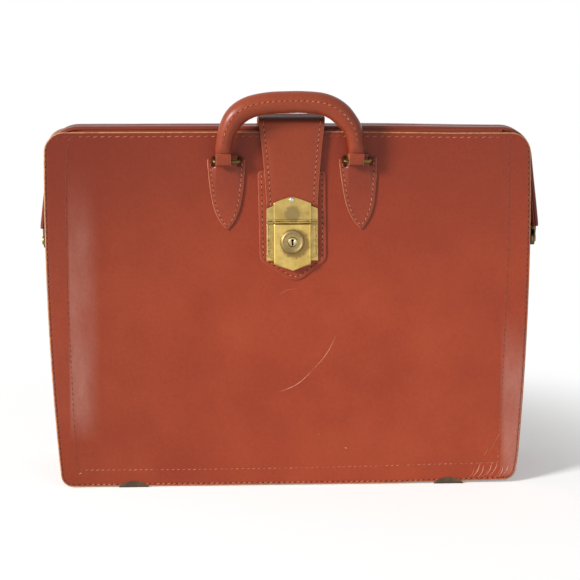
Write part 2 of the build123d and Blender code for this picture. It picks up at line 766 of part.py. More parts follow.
with BuildPart() as ring_left:
    add(ring(-1))
with BuildPart() as ring_right:
    add(ring(1))

# Rolled leather grip on a core, its ends flattened and folded round the rings
NECK_T = 6.4

# Middle line of the grip: legs that lean in to a broad round arch
ARCH_R = 36.0
left_leg = [(-HANDLE_X, GRIP_FROM_Z), (-GRIP_TOP_X, GRIP_TOP_Z)]
with BuildLine(Plane((0, bar_y, 0), x_dir=(1, 0, 0), z_dir=(0, -1, 0))) as arch:
    FilletPolyline(*left_leg, *[(-x, z) for x, z in reversed(left_leg)], radius=ARCH_R)


def grip_end(side):
    """The plane across the grip where a leg begins, facing up the leg."""
    up = arch.line % 0 if side < 0 else -(arch.line % 1)
    at = arch.line @ 0 if side < 0 else arch.line @ 1
    return Plane(at, x_dir=Vector(0, 1, 0).cross(up), z_dir=up)


with BuildPart() as handle_core:
    with BuildSketch(grip_end(-1)):
        Circle(CORE_R)
    sweep(path=arch.line)

with BuildPart() as handle_cover:
    with BuildSketch(grip_end(-1)):
        Circle(GRIP_R)
        Circle(CORE_R + GAP, mode=Mode.SUBTRACT)
    sweep(path=arch.line)
    for side in (-1, 1):
        x0 = side * HANDLE_X
        # round leg down to a flat neck
        with BuildSketch(grip_end(side)):
            Circle(GRIP_R)
        with BuildSketch(Plane((x0, bar_y, bar_z + 5), x_dir=(1, 0, 0),
                               z_dir=(0, 0, 1))):
            RectangleRounded(GRIP_LOOP_W, NECK_T, 2.4)
        loft()
        eye = Plane((x0, bar_y, bar_z), x_dir=(0, 1, 0), z_dir=(1, 0, 0))
        with BuildSketch(eye):
            Circle(WIRE_R + RUN_FIT + LOOP_T + 0.4)
            with Locations((0, 3)):
                Rectangle(NECK_T, 6)
        extrude(amount=GRIP_LOOP_W / 2, both=True)
        with BuildSketch(eye):
            Circle(WIRE_R + RUN_FIT)
        extrude(amount=LOOP_W, both=True, mode=Mode.SUBTRACT)


# Feet
def feet(plane):
    """Two half-moon plates with a bevelled rim, turned in under the panel's edge."""
    drop = FOOT_R - FOOT_H
    hand = plane.z_dir.Y / abs(plane.z_dir.Y)
    outer_y = BASE_D / 2 + FOOT_T
    with BuildPart() as pair:
        for x in (-FOOT_X, FOOT_X):
            with BuildSketch(plane.offset(GAP / 2)):
                with Locations((x, -drop)):
                    Circle(FOOT_R)
                with Locations((x, -FOOT_R - 1)):
                    Rectangle(3 * FOOT_R, 2 * FOOT_R, mode=Mode.SUBTRACT)
            extrude(amount=FOOT_T)
        face = pair.faces().sort_by(Axis((0, 0, 0), plane.z_dir))[-2:]
        chamfer(face.edges().filter_by(GeomType.CIRCLE), 0.5)
        with BuildSketch(Plane.XY):
            with Locations(*[
                (x, hand * (outer_y - FOOT_TURN / 2)) for x in (-FOOT_X, FOOT_X)
            ]):
                Rectangle(FOOT_TURN_W, FOOT_TURN)
        extrude(amount=EDGE_Z - GAP)
        split(bisect_by=Plane.XY, keep=Keep.TOP)
    return pair.part


with BuildPart() as feet_front:
    add(feet(FRONT_FIT))
with BuildPart() as feet_back:
    add(feet(BACK_FIT))


# Export
nodes = {
    "front_panel": front_panel,
    "back_panel": back_panel,
    "front_lining": front_lining,
    "back_lining": back_lining,
    "document_pocket": document_pocket,
    "front_hem": front_hem,
    "back_hem": back_hem,
    "base_panel": base_panel,
    "base_board": base_board,
    "gusset_left": gusset_left,
    "gusset_right": gusset_right,
    "gusset_fold_left": gusset_fold_left,
    "gusset_fold_right": gusset_fold_right,
    "front_frame": front_frame,
    "back_frame": back_frame,
    "front_frame_cover": front_frame_cover,
    "back_frame_cover": back_frame_cover,
    "pivot_rivets": pivot_rivets,
    "lock_patch": lock_patch,
    "lock_plate": lock_plate,
    "lock_cover": lock_cover,
    "lock_bolt": lock_bolt,
    "lock_knob": lock_knob,
    "key_plug": key_plug,
    "bolt_spring": bolt_spring,
    "lock_posts": lock_posts,
    "lock_backplate": lock_backplate,
    "hasp_plate": hasp_plate,
    "hasp_rivet": hasp_rivet,
    "hasp_staple": hasp_staple,
    "strap_top": strap_top,
    "strap_front": strap_front,
    "strap_anchor": strap_anchor,
    "chape_left": chape_left,
    "chape_right": chape_right,
    "ring_left": ring_left,
    "ring_right": ring_right,
    "handle_core": handle_core,
    "handle_cover": handle_cover,
    "feet_front": feet_front,
    "feet_back": feet_back,
}
for name, built in nodes.items():
    label_and_save(built.part, name)
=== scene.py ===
import random
from bisect import bisect_right
from math import asin, atan2, ceil, cos, exp, pi, radians, sin, sqrt, tan

import bmesh
import bpy
from mathutils import Euler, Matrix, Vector, noise


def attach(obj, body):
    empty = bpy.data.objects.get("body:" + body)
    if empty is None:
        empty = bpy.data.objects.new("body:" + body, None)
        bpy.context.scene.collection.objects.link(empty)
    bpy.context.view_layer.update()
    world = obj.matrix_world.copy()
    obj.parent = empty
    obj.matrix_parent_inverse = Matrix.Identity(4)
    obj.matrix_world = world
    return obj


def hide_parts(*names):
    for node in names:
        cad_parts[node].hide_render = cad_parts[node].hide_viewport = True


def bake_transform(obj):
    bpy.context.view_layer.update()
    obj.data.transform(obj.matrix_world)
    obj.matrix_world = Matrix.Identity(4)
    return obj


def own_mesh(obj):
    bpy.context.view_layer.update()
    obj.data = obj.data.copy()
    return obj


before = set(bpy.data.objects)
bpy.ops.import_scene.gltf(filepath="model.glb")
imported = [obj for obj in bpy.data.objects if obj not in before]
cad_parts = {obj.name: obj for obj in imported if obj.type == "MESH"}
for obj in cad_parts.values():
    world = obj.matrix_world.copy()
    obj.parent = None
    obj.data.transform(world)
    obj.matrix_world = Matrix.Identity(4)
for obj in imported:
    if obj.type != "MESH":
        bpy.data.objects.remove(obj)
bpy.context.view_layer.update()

# Front panel
# One sheet of 3 mm bridle hide, cut with a knife and sewn round its border to the gussets
# behind it. It leans in towards the frame and stands on two metal feet.
MM = 0.001
FOOT_DEPTH, MOUTH_DEPTH, PANEL_TOP = 116.0, 36.79, 316.0
LEAN = asin((FOOT_DEPTH - MOUTH_DEPTH) / 2 / PANEL_TOP)
BODY_X = -2.5
PANEL_T = 3.0


def front(x, v, n):
    """A point x across, v up the front panel's face and n out of it, from mm to metres."""
    return Vector((x, -FOOT_DEPTH / 2 + v * sin(LEAN) - n * cos(LEAN),
                   v * cos(LEAN) + n * sin(LEAN))) * MM


def panel_half(v):
    """Half a body panel's width: its sides bow out and are widest at 262 mm."""
    return 216 - (v - 262) ** 2 / 5400


def linear(code):
    """The linear colour of an sRGB hex value."""
    parts = [int(code[i:i + 2], 16) / 255 for i in (1, 3, 5)]
    return (*[c / 12.92 if c <= 0.04045 else ((c + 0.055) / 1.055) ** 2.4 for c in parts], 1)


def node(tree, kind, values=(), links=(), **settings):
    """Adds a shader node with its settings, its sockets' values and its links."""
    made = tree.nodes.new("ShaderNode" + kind)
    for name, value in settings.items():
        setattr(made, name, value)
    for socket, value in dict(values).items():
        made.inputs[socket].default_value = value
    for socket, source in dict(links).items():
        tree.links.new(source, made.inputs[socket])
    return made


def new_finish(name):
    """A new node material, its tree and its surface shader."""
    made = bpy.data.materials.new(name)
    made.use_nodes = True
    return made, made.node_tree, made.node_tree.nodes["Principled BSDF"]


def bridle_hide(name, deep, fair, top_wear_and_shade, gloss=0.4, top_wear_and_shade_share=0.7, painted_sheen_and_shade=0.0, grip_shade_band=None):
    """Bridle hide, waxed and polished on its grain side: a broad soft sheen, cloudy dye,
    fine pores, and a darker tone near the top, part handling and weather, part painted shade."""
    made, tree, shader = new_finish(name)
    place = node(tree, "TexCoord").outputs["Object"]
    # clouds of dye about 70 mm across
    cloud = node(tree, "TexNoise", {"Scale": 14, "Detail": 4, "Roughness": 0.55}, {"Vector": place})
    spread = node(tree, "MapRange", {1: 0.36, 2: 0.66}, {0: cloud.outputs[0]})
    dye = node(tree, "Mix", {6: linear(deep), 7: linear(fair)}, {0: spread.outputs[0]},
               data_type="RGBA")
    height = node(tree, "SeparateXYZ", {}, {0: place})
    # darker towards the top: part handling and weather, part painted shade where less light falls
    upper = node(tree, "MapRange", {1: 0.13, 2: 0.33, 4: top_wear_and_shade_share}, {0: height.outputs[2]},
                 interpolation_type="SMOOTHSTEP")
    colour = node(tree, "Mix", {7: linear(top_wear_and_shade)}, {0: upper.outputs[0], 6: dye.outputs[2]},
                  data_type="RGBA").outputs[2]
    if painted_sheen_and_shade:
        # painted highlight: a pale sheen beside the left inner row and in the right lower border, on
        # the front panel only
        streak = node(tree, "Mapping", {3: (45, 45, 14)}, {0: place})
        haze = node(tree, "TexNoise", {"Scale": 1, "Detail": 5, "Roughness": 0.6},
                    {"Vector": streak.outputs[0]})
        share = node(tree, "MapRange", {1: 0.3, 2: 0.65, 3: 0.35}, {0: haze.outputs[0]}).outputs[0]
        sides = []
        for across, up in (((-0.188, -0.168, -0.1985, -0.1965, 0.08), (0.04, 0.07, 0.17, 0.29)),
                           ((0.215, 0.222, 0.186, 0.191, 0.0), (0.0, 0.01, 0.09, 0.16))):
            masks = [node(tree, "MapRange", {1: across[0], 2: across[1], 3: 1.0, 4: 0.0},
                          {0: height.outputs[0]}, interpolation_type="SMOOTHSTEP"),
                     node(tree, "MapRange", {1: across[2], 2: across[3], 3: across[4], 4: 1.0},
                          {0: height.outputs[0]}),
                     node(tree, "MapRange", {1: up[0], 2: up[1]}, {0: height.outputs[2]}),
                     node(tree, "MapRange", {1: up[2], 2: up[3], 3: 1.0, 4: 0.0},
                          {0: height.outputs[2]}, interpolation_type="SMOOTHSTEP")]
            product = masks[0].outputs[0]
            for mask in masks[1:]:
                product = node(tree, "Math", {}, {0: product, 1: mask.outputs[0]},
                               operation="MULTIPLY").outputs[0]
            sides.append(product)
        both = node(tree, "Math", {}, {0: sides[0], 1: sides[1]}, operation="MAXIMUM")
        ahead = node(tree, "MapRange", {1: -0.02, 2: 0.0, 3: painted_sheen_and_shade, 4: 0.0}, {0: height.outputs[1]})
        strong = node(tree, "Math", {}, {0: both.outputs[0], 1: ahead.outputs[0]},
                      operation="MULTIPLY")
        share = node(tree, "Math", {}, {0: strong.outputs[0], 1: share}, operation="MULTIPLY")
        colour = node(tree, "Mix", {7: linear("#C79A8C")}, {0: share.outputs[0], 6: colour},
                      data_type="RGBA").outputs[2]
    # mottling about 2.5 mm across
    fleck = node(tree, "TexNoise", {"Scale": 400, "Detail": 3}, {"Vector": place})
    shade = node(tree, "MapRange", {1: 0.3, 2: 0.7, 3: 0.94, 4: 1.06}, {0: fleck.outputs[0]})
    if painted_sheen_and_shade:
        # painted shade: darker towards the left
        side = node(tree, "MapRange", {1: -0.23, 2: 0.02, 3: 0.76, 4: 0.985}, {0: height.outputs[0]},
                    interpolation_type="SMOOTHSTEP")
        shade = node(tree, "Math", {}, {0: shade.outputs[0], 1: side.outputs[0]},
                     operation="MULTIPLY")
    tone = node(tree, "VectorMath", {}, {0: colour, 3: shade.outputs[0]}, operation="SCALE")
    tree.links.new(tone.outputs[0], shader.inputs["Base Color"])
    sheen = node(tree, "MapRange", {1: 0.3, 2: 0.7, 3: gloss - 0.05, 4: gloss + 0.09},
                 {0: cloud.outputs[0]}).outputs[0]
    if grip_shade_band:
        # painted shade: the strap's top is darkened where the grip shades it, and made rougher there
        darkened = node(tree, "MapRange", {1: grip_shade_band[0], 2: grip_shade_band[1], 4: 0.85}, {0: height.outputs[2]},
                      interpolation_type="SMOOTHSTEP")
        colour = node(tree, "Mix", {7: linear("#2C1009")}, {0: darkened.outputs[0], 6: tone.outputs[0]},
                      data_type="RGBA")
        tree.links.new(colour.outputs[2], shader.inputs["Base Color"])
        sheen = node(tree, "Mix", {3: 0.8}, {0: darkened.outputs[0], 2: sheen}).outputs[0]
    tree.links.new(sheen, shader.inputs["Roughness"])
    # pores 1.1 mm apart over the fine cockle of the skin
    pores = node(tree, "TexVoronoi", {"Scale": 900}, {"Vector": place})
    cockle = node(tree, "TexNoise", {"Scale": 130, "Detail": 5}, {"Vector": place})
    relief = node(tree, "Math", {1: 0.25}, {0: pores.outputs[0], 2: cockle.outputs[0]},
                  operation="MULTIPLY_ADD")
    bump = node(tree, "Bump", {"Strength": 0.22, "Distance": 0.0006}, {"Height": relief.outputs[0]})
    tree.links.new(bump.outputs[0], shader.inputs["Normal"])
    shader.inputs["Specular IOR Level"].default_value = 0.26
    shader.inputs["Coat Weight"].default_value = 0.06
    shader.inputs["Coat Roughness"].default_value = 0.22
    return made


def cut_edge(name, fair, deep):
    """Cut and burnished edge of hide: pale, with its fibres lying in layers."""
    made, tree, shader = new_finish(name)
    place = node(tree, "TexCoord").outputs["Object"]
    fibre = node(tree, "TexNoise", {"Scale": 260, "Detail": 6, "Roughness": 0.65},
                 {"Vector": place})
    share = node(tree, "MapRange", {1: 0.35, 2: 0.62}, {0: fibre.outputs[0]})
    dye = node(tree, "Mix", {6: linear(deep), 7: linear(fair)}, {0: share.outputs[0]},
               data_type="RGBA")
    tree.links.new(dye.outputs[2], shader.inputs["Base Color"])
    bump = node(tree, "Bump", {"Strength": 0.3, "Distance": 0.0002}, {"Height": fibre.outputs[0]})
    tree.links.new(bump.outputs[0], shader.inputs["Normal"])
    shader.inputs["Roughness"].default_value = 0.55
    return made


def linen_thread(name, fair, deep):
    """Waxed linen thread, laid from strands: matt, and soiled by the dye of the hide."""
    made, tree, shader = new_finish(name)
    place = node(tree, "TexCoord").outputs["Object"]
    soil = node(tree, "TexNoise", {"Scale": 120, "Detail": 3}, {"Vector": place})
    share = node(tree, "MapRange", {1: 0.35, 2: 0.65}, {0: soil.outputs[0]})
    dye = node(tree, "Mix", {6: linear(deep), 7: linear(fair)}, {0: share.outputs[0]},
               data_type="RGBA")
    # the rows along the sides are rubbed dark
    apart = node(tree, "SeparateXYZ", {}, {0: place})
    far = node(tree, "Math", {}, {0: apart.outputs[0]}, operation="ABSOLUTE")
    darkened = node(tree, "MapRange", {1: 0.181, 2: 0.19, 4: 0.75}, {0: far.outputs[0]})
    dye = node(tree, "Mix", {7: linear("#52200F")}, {0: darkened.outputs[0], 6: dye.outputs[2]},
               data_type="RGBA")
    tree.links.new(dye.outputs[2], shader.inputs["Base Color"])
    # strands 0.4 mm wide
    strand = node(tree, "TexWave", {"Scale": 800, "Distortion": 1.5}, {"Vector": place},
                  bands_direction="DIAGONAL")
    bump = node(tree, "Bump", {"Strength": 0.4, "Distance": 0.0001}, {"Height": strand.outputs[1]})
    tree.links.new(bump.outputs[0], shader.inputs["Normal"])
    shader.inputs["Roughness"].default_value = 0.7
    return made


def run_of(path):
    """Distances along a line of points."""
    reach = [0.0]
    for a, b in zip(path, path[1:]):
        reach.append(reach[-1] + (Vector(b) - Vector(a)).length)
    return reach


def stop_at(reach, s):
    """Between which two points of a line a distance lies, and how far between them."""
    i = min(max(bisect_right(reach, s) - 1, 0), len(reach) - 2)
    return i, (s - reach[i]) / max(reach[i + 1] - reach[i], 1e-9)


def way_at(path, i):
    """The direction of a line at one of its points."""
    return (path[min(i + 1, len(path) - 1)] - path[max(i - 1, 0)]).normalized()


def wrapped(size, loops):
    """Faces that join closed loops of size points, each to the next."""
    return [(r * size + i, r * size + (i + 1) % size, (r + 1) * size + (i + 1) % size,
             (r + 1) * size + i) for r in range(loops - 1) for i in range(size)]


def end_caps(size, total):
    """Faces that close the first and the last loop."""
    return [tuple(range(size)), tuple(range(total - size, total))]


def mesh_piece(name, verts, faces, coats, kinds=None):
    """A smooth mesh object with a material index for each face."""
    mesh = bpy.data.meshes.new(name)
    mesh.from_pydata([tuple(p) for p in verts], [], faces)
    for coat in coats:
        mesh.materials.append(coat)
    if kinds:
        mesh.polygons.foreach_set("material_index", kinds)
    shape = bmesh.new()
    shape.from_mesh(mesh)
    bmesh.ops.recalc_face_normals(shape, faces=shape.faces)
    shape.to_mesh(mesh)
    shape.free()
    mesh.polygons.foreach_set("use_smooth", [True] * len(mesh.polygons))
    made = bpy.data.objects.new(name, mesh)
    bpy.context.scene.collection.objects.link(made)
    return made


def knife_line(corners, inset=0.0, step=2.5, closed=True):
    """Points along a cut through corners (x, v, radius), or along one inset from it.
    Every inset of the same cut has the same number of points."""
    count = len(corners)
    bends = []
    for i, (x, v, radius) in enumerate(corners):
        here = Vector((x, v))
        if not closed and i in (0, count - 1):
            bends.append((here, here, here, 0.0, 0))
            continue
        into = (here - Vector(corners[i - 1][:2])).normalized()
        out = (Vector(corners[(i + 1) % count][:2]) - here).normalized()
        turn = atan2(into.x * out.y - into.y * out.x, into.dot(out))
        left = Vector((-into.y - out.y, into.x + out.x)).normalized()
        spot = here + left * (inset / cos(turn / 2))
        if not radius:
            bends.append((spot, spot, spot, 0.0, 0))
            continue
        bend = max(radius - inset, 0.35) if turn > 0 else radius + inset
        reach = bend * tan(abs(turn) / 2)
        start = spot - into * reach
        side = 1 if turn > 0 else -1
        centre = start + Vector((-into.y, into.x)) * side * bend
        pieces = max(3, ceil(abs(turn) * radius / step) + 1)
        bends.append((start, spot + out * reach, centre, turn, pieces))
    points = []
    for i, (start, end, centre, turn, pieces) in enumerate(bends):
        if pieces:
            arm = start - centre
            for k in range(pieces + 1):
                a = turn * k / pieces
                points.append(centre + Vector((arm.x * cos(a) - arm.y * sin(a),
                                               arm.x * sin(a) + arm.y * cos(a))))
        else:
            points.append(end)
        if closed or i < count - 1:
            base = (Vector(corners[(i + 1) % count][:2]) - Vector(corners[i][:2])).length
            parts = max(1, round(base / step))
            after = bends[(i + 1) % count][0]
            points += [end.lerp(after, k / parts) for k in range(1, parts)]
    return points


def hide_piece(name, corners, place, low, high, coats, rows=(), crown=None, fill=9,
               step=2.5, lip=0.7, dent_to=1e3, worn=0):
    """A piece cut from hide, from n low to n high: a rounded burnished edge, the sewing
    rows pressed in up to dent_to, and a face that swells as crown(x, v) says. Where worn
    is 1, the raw hide shows on its rounded lip too."""
    lip = min(lip, (high - low) / 3)
    rings = [(0, low + 0.3 * lip, 1), (0, high - 1.5 * lip, 1), (0.03 * lip, high - 0.8 * lip, 1),
             (0.3 * lip, high - 0.22 * lip, 1), (lip, high, worn)]
    for row in rows:
        rings += [(row - 1.0, high, 0), (row - 0.35, high - 0.2, 0), (row + 0.35, high - 0.2, 0),
                  (row + 1.0, high, 0)]
    verts, faces, kinds = [], [], []
    lines = [[(p.x, p.y, n) for p in knife_line(corners, inset, step)] for inset, n, _ in rings]
    last = knife_line(corners, rings[-1][0] + 1.0, step)
    centre = Vector((sum(p.x for p in last), sum(p.y for p in last))) / len(last)
    for k in range(fill):
        lines.append([(*centre.lerp(p, 1 - k / fill), high) for p in last])
    size = len(last)
    for line in lines:
        for x, v, n in line:
            n = high if v > dent_to and n == high - 0.2 else n
            rise = crown(x, v) if crown and n > low + lip else 0
            verts.append(place(x, v, n + rise))
    faces += wrapped(size, len(lines))
    for r in range(1, len(lines)):
        kinds += [rings[r][2] if r < len(rings) else 0] * size
    top = len(verts)
    verts.append(place(*centre, high + (crown(*centre) if crown else 0)))
    start = (len(lines) - 1) * size
    faces += [(start + i, start + (i + 1) % size, top) for i in range(size)]
    kinds += [0] * size
    # the flesh side
    under = knife_line(corners, 0.3 * lip, step)
    base = len(verts)
    verts += [place(p.x, p.y, low) for p in under]
    verts += [place(*centre.lerp(p, 0.5), low) for p in under]
    verts.append(place(*centre, low))
    for i in range(size):
        j = (i + 1) % size
        faces += [(j, i, base + i, base + j), (base + j, base + i, base + size + i, base + size + j),
                  (base + size + j, base + size + i, base + 2 * size)]
        kinds += [1, 2, 2]
    return mesh_piece(name, verts, faces, coats, kinds)


def sew(name, runs, place, n, coats, wide=0.9, slant=13, seed=1):
    """Saddle stitches along runs of (points, pitch): raised lengths of thread, a little
    aslant, that dip into awl holes drawn as small dark discs of painted shade."""
    chance = random.Random(seed)
    verts, faces, kinds = [], [], []
    for points, pitch in runs:
        path = [Vector(p) for p in points]
        reach = run_of(path)
        count = max(1, round(reach[-1] / pitch))
        pitch = reach[-1] / count

        def spot(s):
            """The point and the direction at a distance along the run."""
            i, t = stop_at(reach, s)
            return path[i].lerp(path[i + 1], t), (path[i + 1] - path[i]).normalized()

        for i in range(count):
            mid, way = spot((i + 0.5) * pitch)
            a = radians(slant + chance.uniform(-5, 5))
            along = Vector((way.x * cos(a) - way.y * sin(a), way.x * sin(a) + way.y * cos(a)))
            across = Vector((-along.y, along.x))
            half = pitch * chance.uniform(0.33, 0.38)
            lift = chance.uniform(0.85, 1.1)
            base = len(verts)
            for t, up, w in ((-1, -0.35, 0.35), (-0.7, 0.35, 0.8), (0, 0.62, 1), (0.7, 0.35, 0.8),
                             (1, -0.35, 0.35)):
                for k in range(5):
                    q = pi * k / 4
                    p = mid + along * (t * half) + across * (cos(q) * w * wide / 2)
                    verts.append(place(p.x, p.y, n - 0.3 + max(0, sin(q)) * lift * (up + 0.3)))
            at = [base + 5 * r + k for r in range(4) for k in range(4)]
            faces += [(s, s + 1, s + 6, s + 5) for s in at]
            kinds += [0] * len(at)
        # the awl holes: small discs whose dark colour is painted shade
        for i in range(count + 1):
            mid, way = spot(i * pitch)
            across = Vector((-way.y, way.x))
            base = len(verts)
            for k in range(8):
                q = pi * k / 4
                p = mid + way * (cos(q) * 0.75) + across * (sin(q) * 0.5)
                verts.append(place(p.x, p.y, n - 0.15))
            verts.append(place(mid.x, mid.y, n + 0.1))
            faces += [(base + k, base + (k + 1) % 8, base + 8) for k in range(8)]
            kinds += [1] * 8
    return mesh_piece(name, verts, faces, coats, kinds)


def awl_hole_shade(name):
    """Painted shade: the dark of an awl hole beside a stitch, with no gloss."""
    made, tree, shader = new_finish(name)
    place = node(tree, "TexCoord").outputs["Object"]
    hole_mottle = node(tree, "TexNoise", {"Scale": 600}, {"Vector": place})
    dye = node(tree, "Mix", {6: linear("#2A0D08"), 7: linear("#4A1C12")}, {0: hole_mottle.outputs[0]},
               data_type="RGBA")
    tree.links.new(dye.outputs[2], shader.inputs["Base Color"])
    shader.inputs["Roughness"].default_value = 0.9
    shader.inputs["Specular IOR Level"].default_value = 0.1
    return made


def panel_corners(middle, inset=0.0, top=PANEL_TOP, low=0.9, top_r=18.0, low_r=11.0, drop=1.5):
    """Corners of a body panel, or of a piece inset from it. Its top has settled by drop
    towards one end."""
    def half(v):
        return panel_half(v) - inset

    heights = [low + (top - low) * k / 12 for k in range(1, 12)]
    right = middle + half(top)
    return [
        (middle - half(low), low, low_r), (middle + 95, low, 0),
        (middle + half(low) - 1, low + 2.2, low_r),
        *[(middle + half(v), v, 0) for v in heights],
        (right, top - drop, top_r), (right - 70, top - drop, 0), (right - 170, top, 0),
        (middle - half(top), top, top_r),
        *[(middle - half(v), v, 0) for v in reversed(heights)],
    ]


PANEL_HIDE = bridle_hide("bridle_hide_panel", "#96391F", "#A24225", "#7C2C18", 0.36, 0.8, 0.4)
CUT_EDGE = cut_edge("burnished_hide_edge", "#BC7551", "#97512F")
FLESH = cut_edge("flesh_side_of_hide", "#9A6A4A", "#7E5238")
THREAD = linen_thread("waxed_linen_thread", "#C4805F", "#94492F")
HOLE_SHADE = awl_hole_shade("awl_hole_shade")
HIDE = [PANEL_HIDE, cut_edge("worn_panel_edge", "#C28D5C", "#9F6040"), FLESH]
SEWN = [THREAD, HOLE_SHADE]
ROW_IN, TOP_ROW_IN = 2.1, 4.2
INNER_ROW = [(-194.5, 311.4), (-197.4, 303), (-198.9, 280), (-199.2, 238), (-199.0, 174),
             (-197.3, 131), (-195.7, 88.7), (-194.0, 45.8), (-191.8, 16.2), (-146.6, 15.8),
             (-84.3, 15.6), (-3.8, 15.8), (77, 16.8), (131, 17.8), (184.7, 18.4), (185.7, 40),
             (188.0, 83.4), (191.6, 169.8), (193.2, 212.7), (193.4, 298), (193.3, 308.6)]


def panel_swell(x, v):
    """The slack of a large sheet: broad waves under half a millimetre high."""
    inside = max(0, min(1, (200 - abs(x - BODY_X)) / 60, (v - 8) / 60, (312 - v) / 50))
    wave = noise.noise(Vector((x / 90, v / 110, 3.1)))
    return inside * (0.25 + 0.55 * wave)


def panel_rows(middle, drop=1.5):
    """The border row, whose stitches are longer along the top, and the inner row."""
    corners = panel_corners(middle, drop=drop)
    around, above = knife_line(corners, ROW_IN), knife_line(corners, TOP_ROW_IN)
    near = [i for i, p in enumerate(around) if p.y > PANEL_TOP - ROW_IN - 2.9]
    high = [p for p in above if p.y > PANEL_TOP - TOP_ROW_IN - 2.9]
    rest = [high[-1]] + around[near[-1] + 1:] + around[:near[0]] + [high[0]]
    inner = INNER_ROW if middle < 0 else [(-x, v) for x, v in INNER_ROW]
    return [(high, 6.5), (rest, 4.8), (inner, 4.8)]


def fit(piece, body, node_name):
    """Puts a piece in place of a CAD node, on the body it rides on."""
    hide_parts(node_name)
    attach(piece, body)


panel = hide_piece("front_panel_hide", panel_corners(BODY_X), front, -PANEL_T, 0.0, HIDE,
                   (ROW_IN,), panel_swell, fill=18, step=3.0, lip=1.0, dent_to=302, worn=1)
fit(panel, "front", "front_panel")
panel_sewing = sew("front_panel_stitches", panel_rows(BODY_X), front, -0.05, SEWN)
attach(panel_sewing, "front")


def scuff(name, points, wide, place, body, coat):
    """A scratch or scuff, a burr of paler hide that a knock has raised, or a crease ridge whose pale
    colour is a painted highlight; tapered at its ends.
    """
    path = [Vector(p) for p in points]
    verts = []
    for i, p in enumerate(path):
        way = way_at(path, i)
        across = Vector((-way.y, way.x))
        t = i / (len(path) - 1)
        w = wide * (0.15 + 0.85 * sin(pi * t)) * (0.7 + 0.3 * noise.noise(Vector((i * 0.7, wide, 2))))
        for u, n in ((-0.5, 0), (-0.2, 0.11), (0.2, 0.11), (0.5, 0), (0, -0.6)):
            q = p + across * (u * w)
            verts.append(place(q.x, q.y, n + 0.02 + panel_swell(q.x, q.y)))
    faces = wrapped(5, len(path)) + end_caps(5, len(verts))
    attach(mesh_piece(name, verts, faces, [coat]), body)


SCRATCHED = cut_edge("scratched_hide", "#D9A184", "#BE6F4E")
# paler rubbed hide for the rub and nick; on the creases below it is a painted highlight
RUB_AND_HIGHLIGHT = cut_edge("rubbed_hide_and_highlight", "#B4664A", "#A45238")


def bow(a, b, sag, count=28):
    """Points of a shallow curve from a to b."""
    a, b = Vector(a), Vector(b)
    side = Vector((-(b - a).y, (b - a).x)).normalized()
    return [a.lerp(b, k / count) + side * (sag * sin(pi * k / count)) for k in range(count + 1)]


scuff("scratch_low", bow((-12.2, 84.5), (18.2, 104.5), -3.2), 0.75, front, "front", SCRATCHED)
scuff("scratch_high", bow((18.0, 104.3), (38.6, 134.0), -2.2), 0.6, front, "front", SCRATCHED)
scuff("rub_under_lock", bow((-12, 171.5), (5, 176.5), 1.6), 0.7, front, "front", RUB_AND_HIGHLIGHT)
scuff("nick_middle", bow((22.5, 45.5), (24.5, 46.5), 0.2, 8), 1.0, front, "front", RUB_AND_HIGHLIGHT)
scuff("nick_low", bow((46.5, 33.8), (48.6, 32.6), 0.2, 8), 1.1, front, "front", SCRATCHED)
scuff("nick_left", bow((-190.5, 12.6), (-188.2, 13.4), 0.2, 8), 1.2, front, "front", SCRATCHED)
chance = random.Random(4)
CREASE_HIGHLIGHT = cut_edge("crease_painted_highlight", "#D39C88", "#B5634C")
# creases by the right foot: low ridges whose pale colour is a painted highlight
for k in range(11):
    x, v = 158.5 + 3.7 * k + chance.uniform(-0.8, 0.8), 5.5 + chance.uniform(-1, 2)
    tall = chance.uniform(8, 14)
    scuff(f"crease_{k}", bow((x, v), (x + 5.5 + chance.uniform(-1, 2.5), v + tall), -1.5, 14), 0.95,
          front, "front", CREASE_HIGHLIGHT if k % 3 else RUB_AND_HIGHLIGHT)
for k, (x, v) in enumerate([(171, 24), (177, 29), (181, 37)]):
    scuff(f"crease_high_{k}", bow((x, v), (x + 5, v + 10), -1.0, 12), 0.6, front, "front", RUB_AND_HIGHLIGHT)

# Back panel
# The same sheet turned round, with no lock or handle on it, sewn in the same way.


def back(x, v, n):
    """A point x across as seen from behind, v up the back panel and n out of it."""
    p = front(x, v, n)
    return Vector((-p.x, -p.y, p.z))


rear = hide_piece("back_panel_hide", panel_corners(-BODY_X, drop=0), back, -PANEL_T, 0.0, HIDE,
                  (ROW_IN,), lambda x, v: panel_swell(x + 3, v + 40), fill=18, step=3.0, lip=1.0,
                  dent_to=302, worn=1)
fit(rear, "back", "back_panel")
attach(sew("back_panel_stitches", panel_rows(-BODY_X, 0), back, -0.05, SEWN, seed=2), "back")

# Base
# A stout sheet of hide whose long edges turn down inside the panels, with a fibre board
# laid on it as a floor.
BASE_HALF = panel_half(8) - 9


def inner_y(z):
    """How far a panel's inner face is from the middle plane at a height."""
    return FOOT_DEPTH / 2 - z * tan(LEAN) - PANEL_T / cos(LEAN)


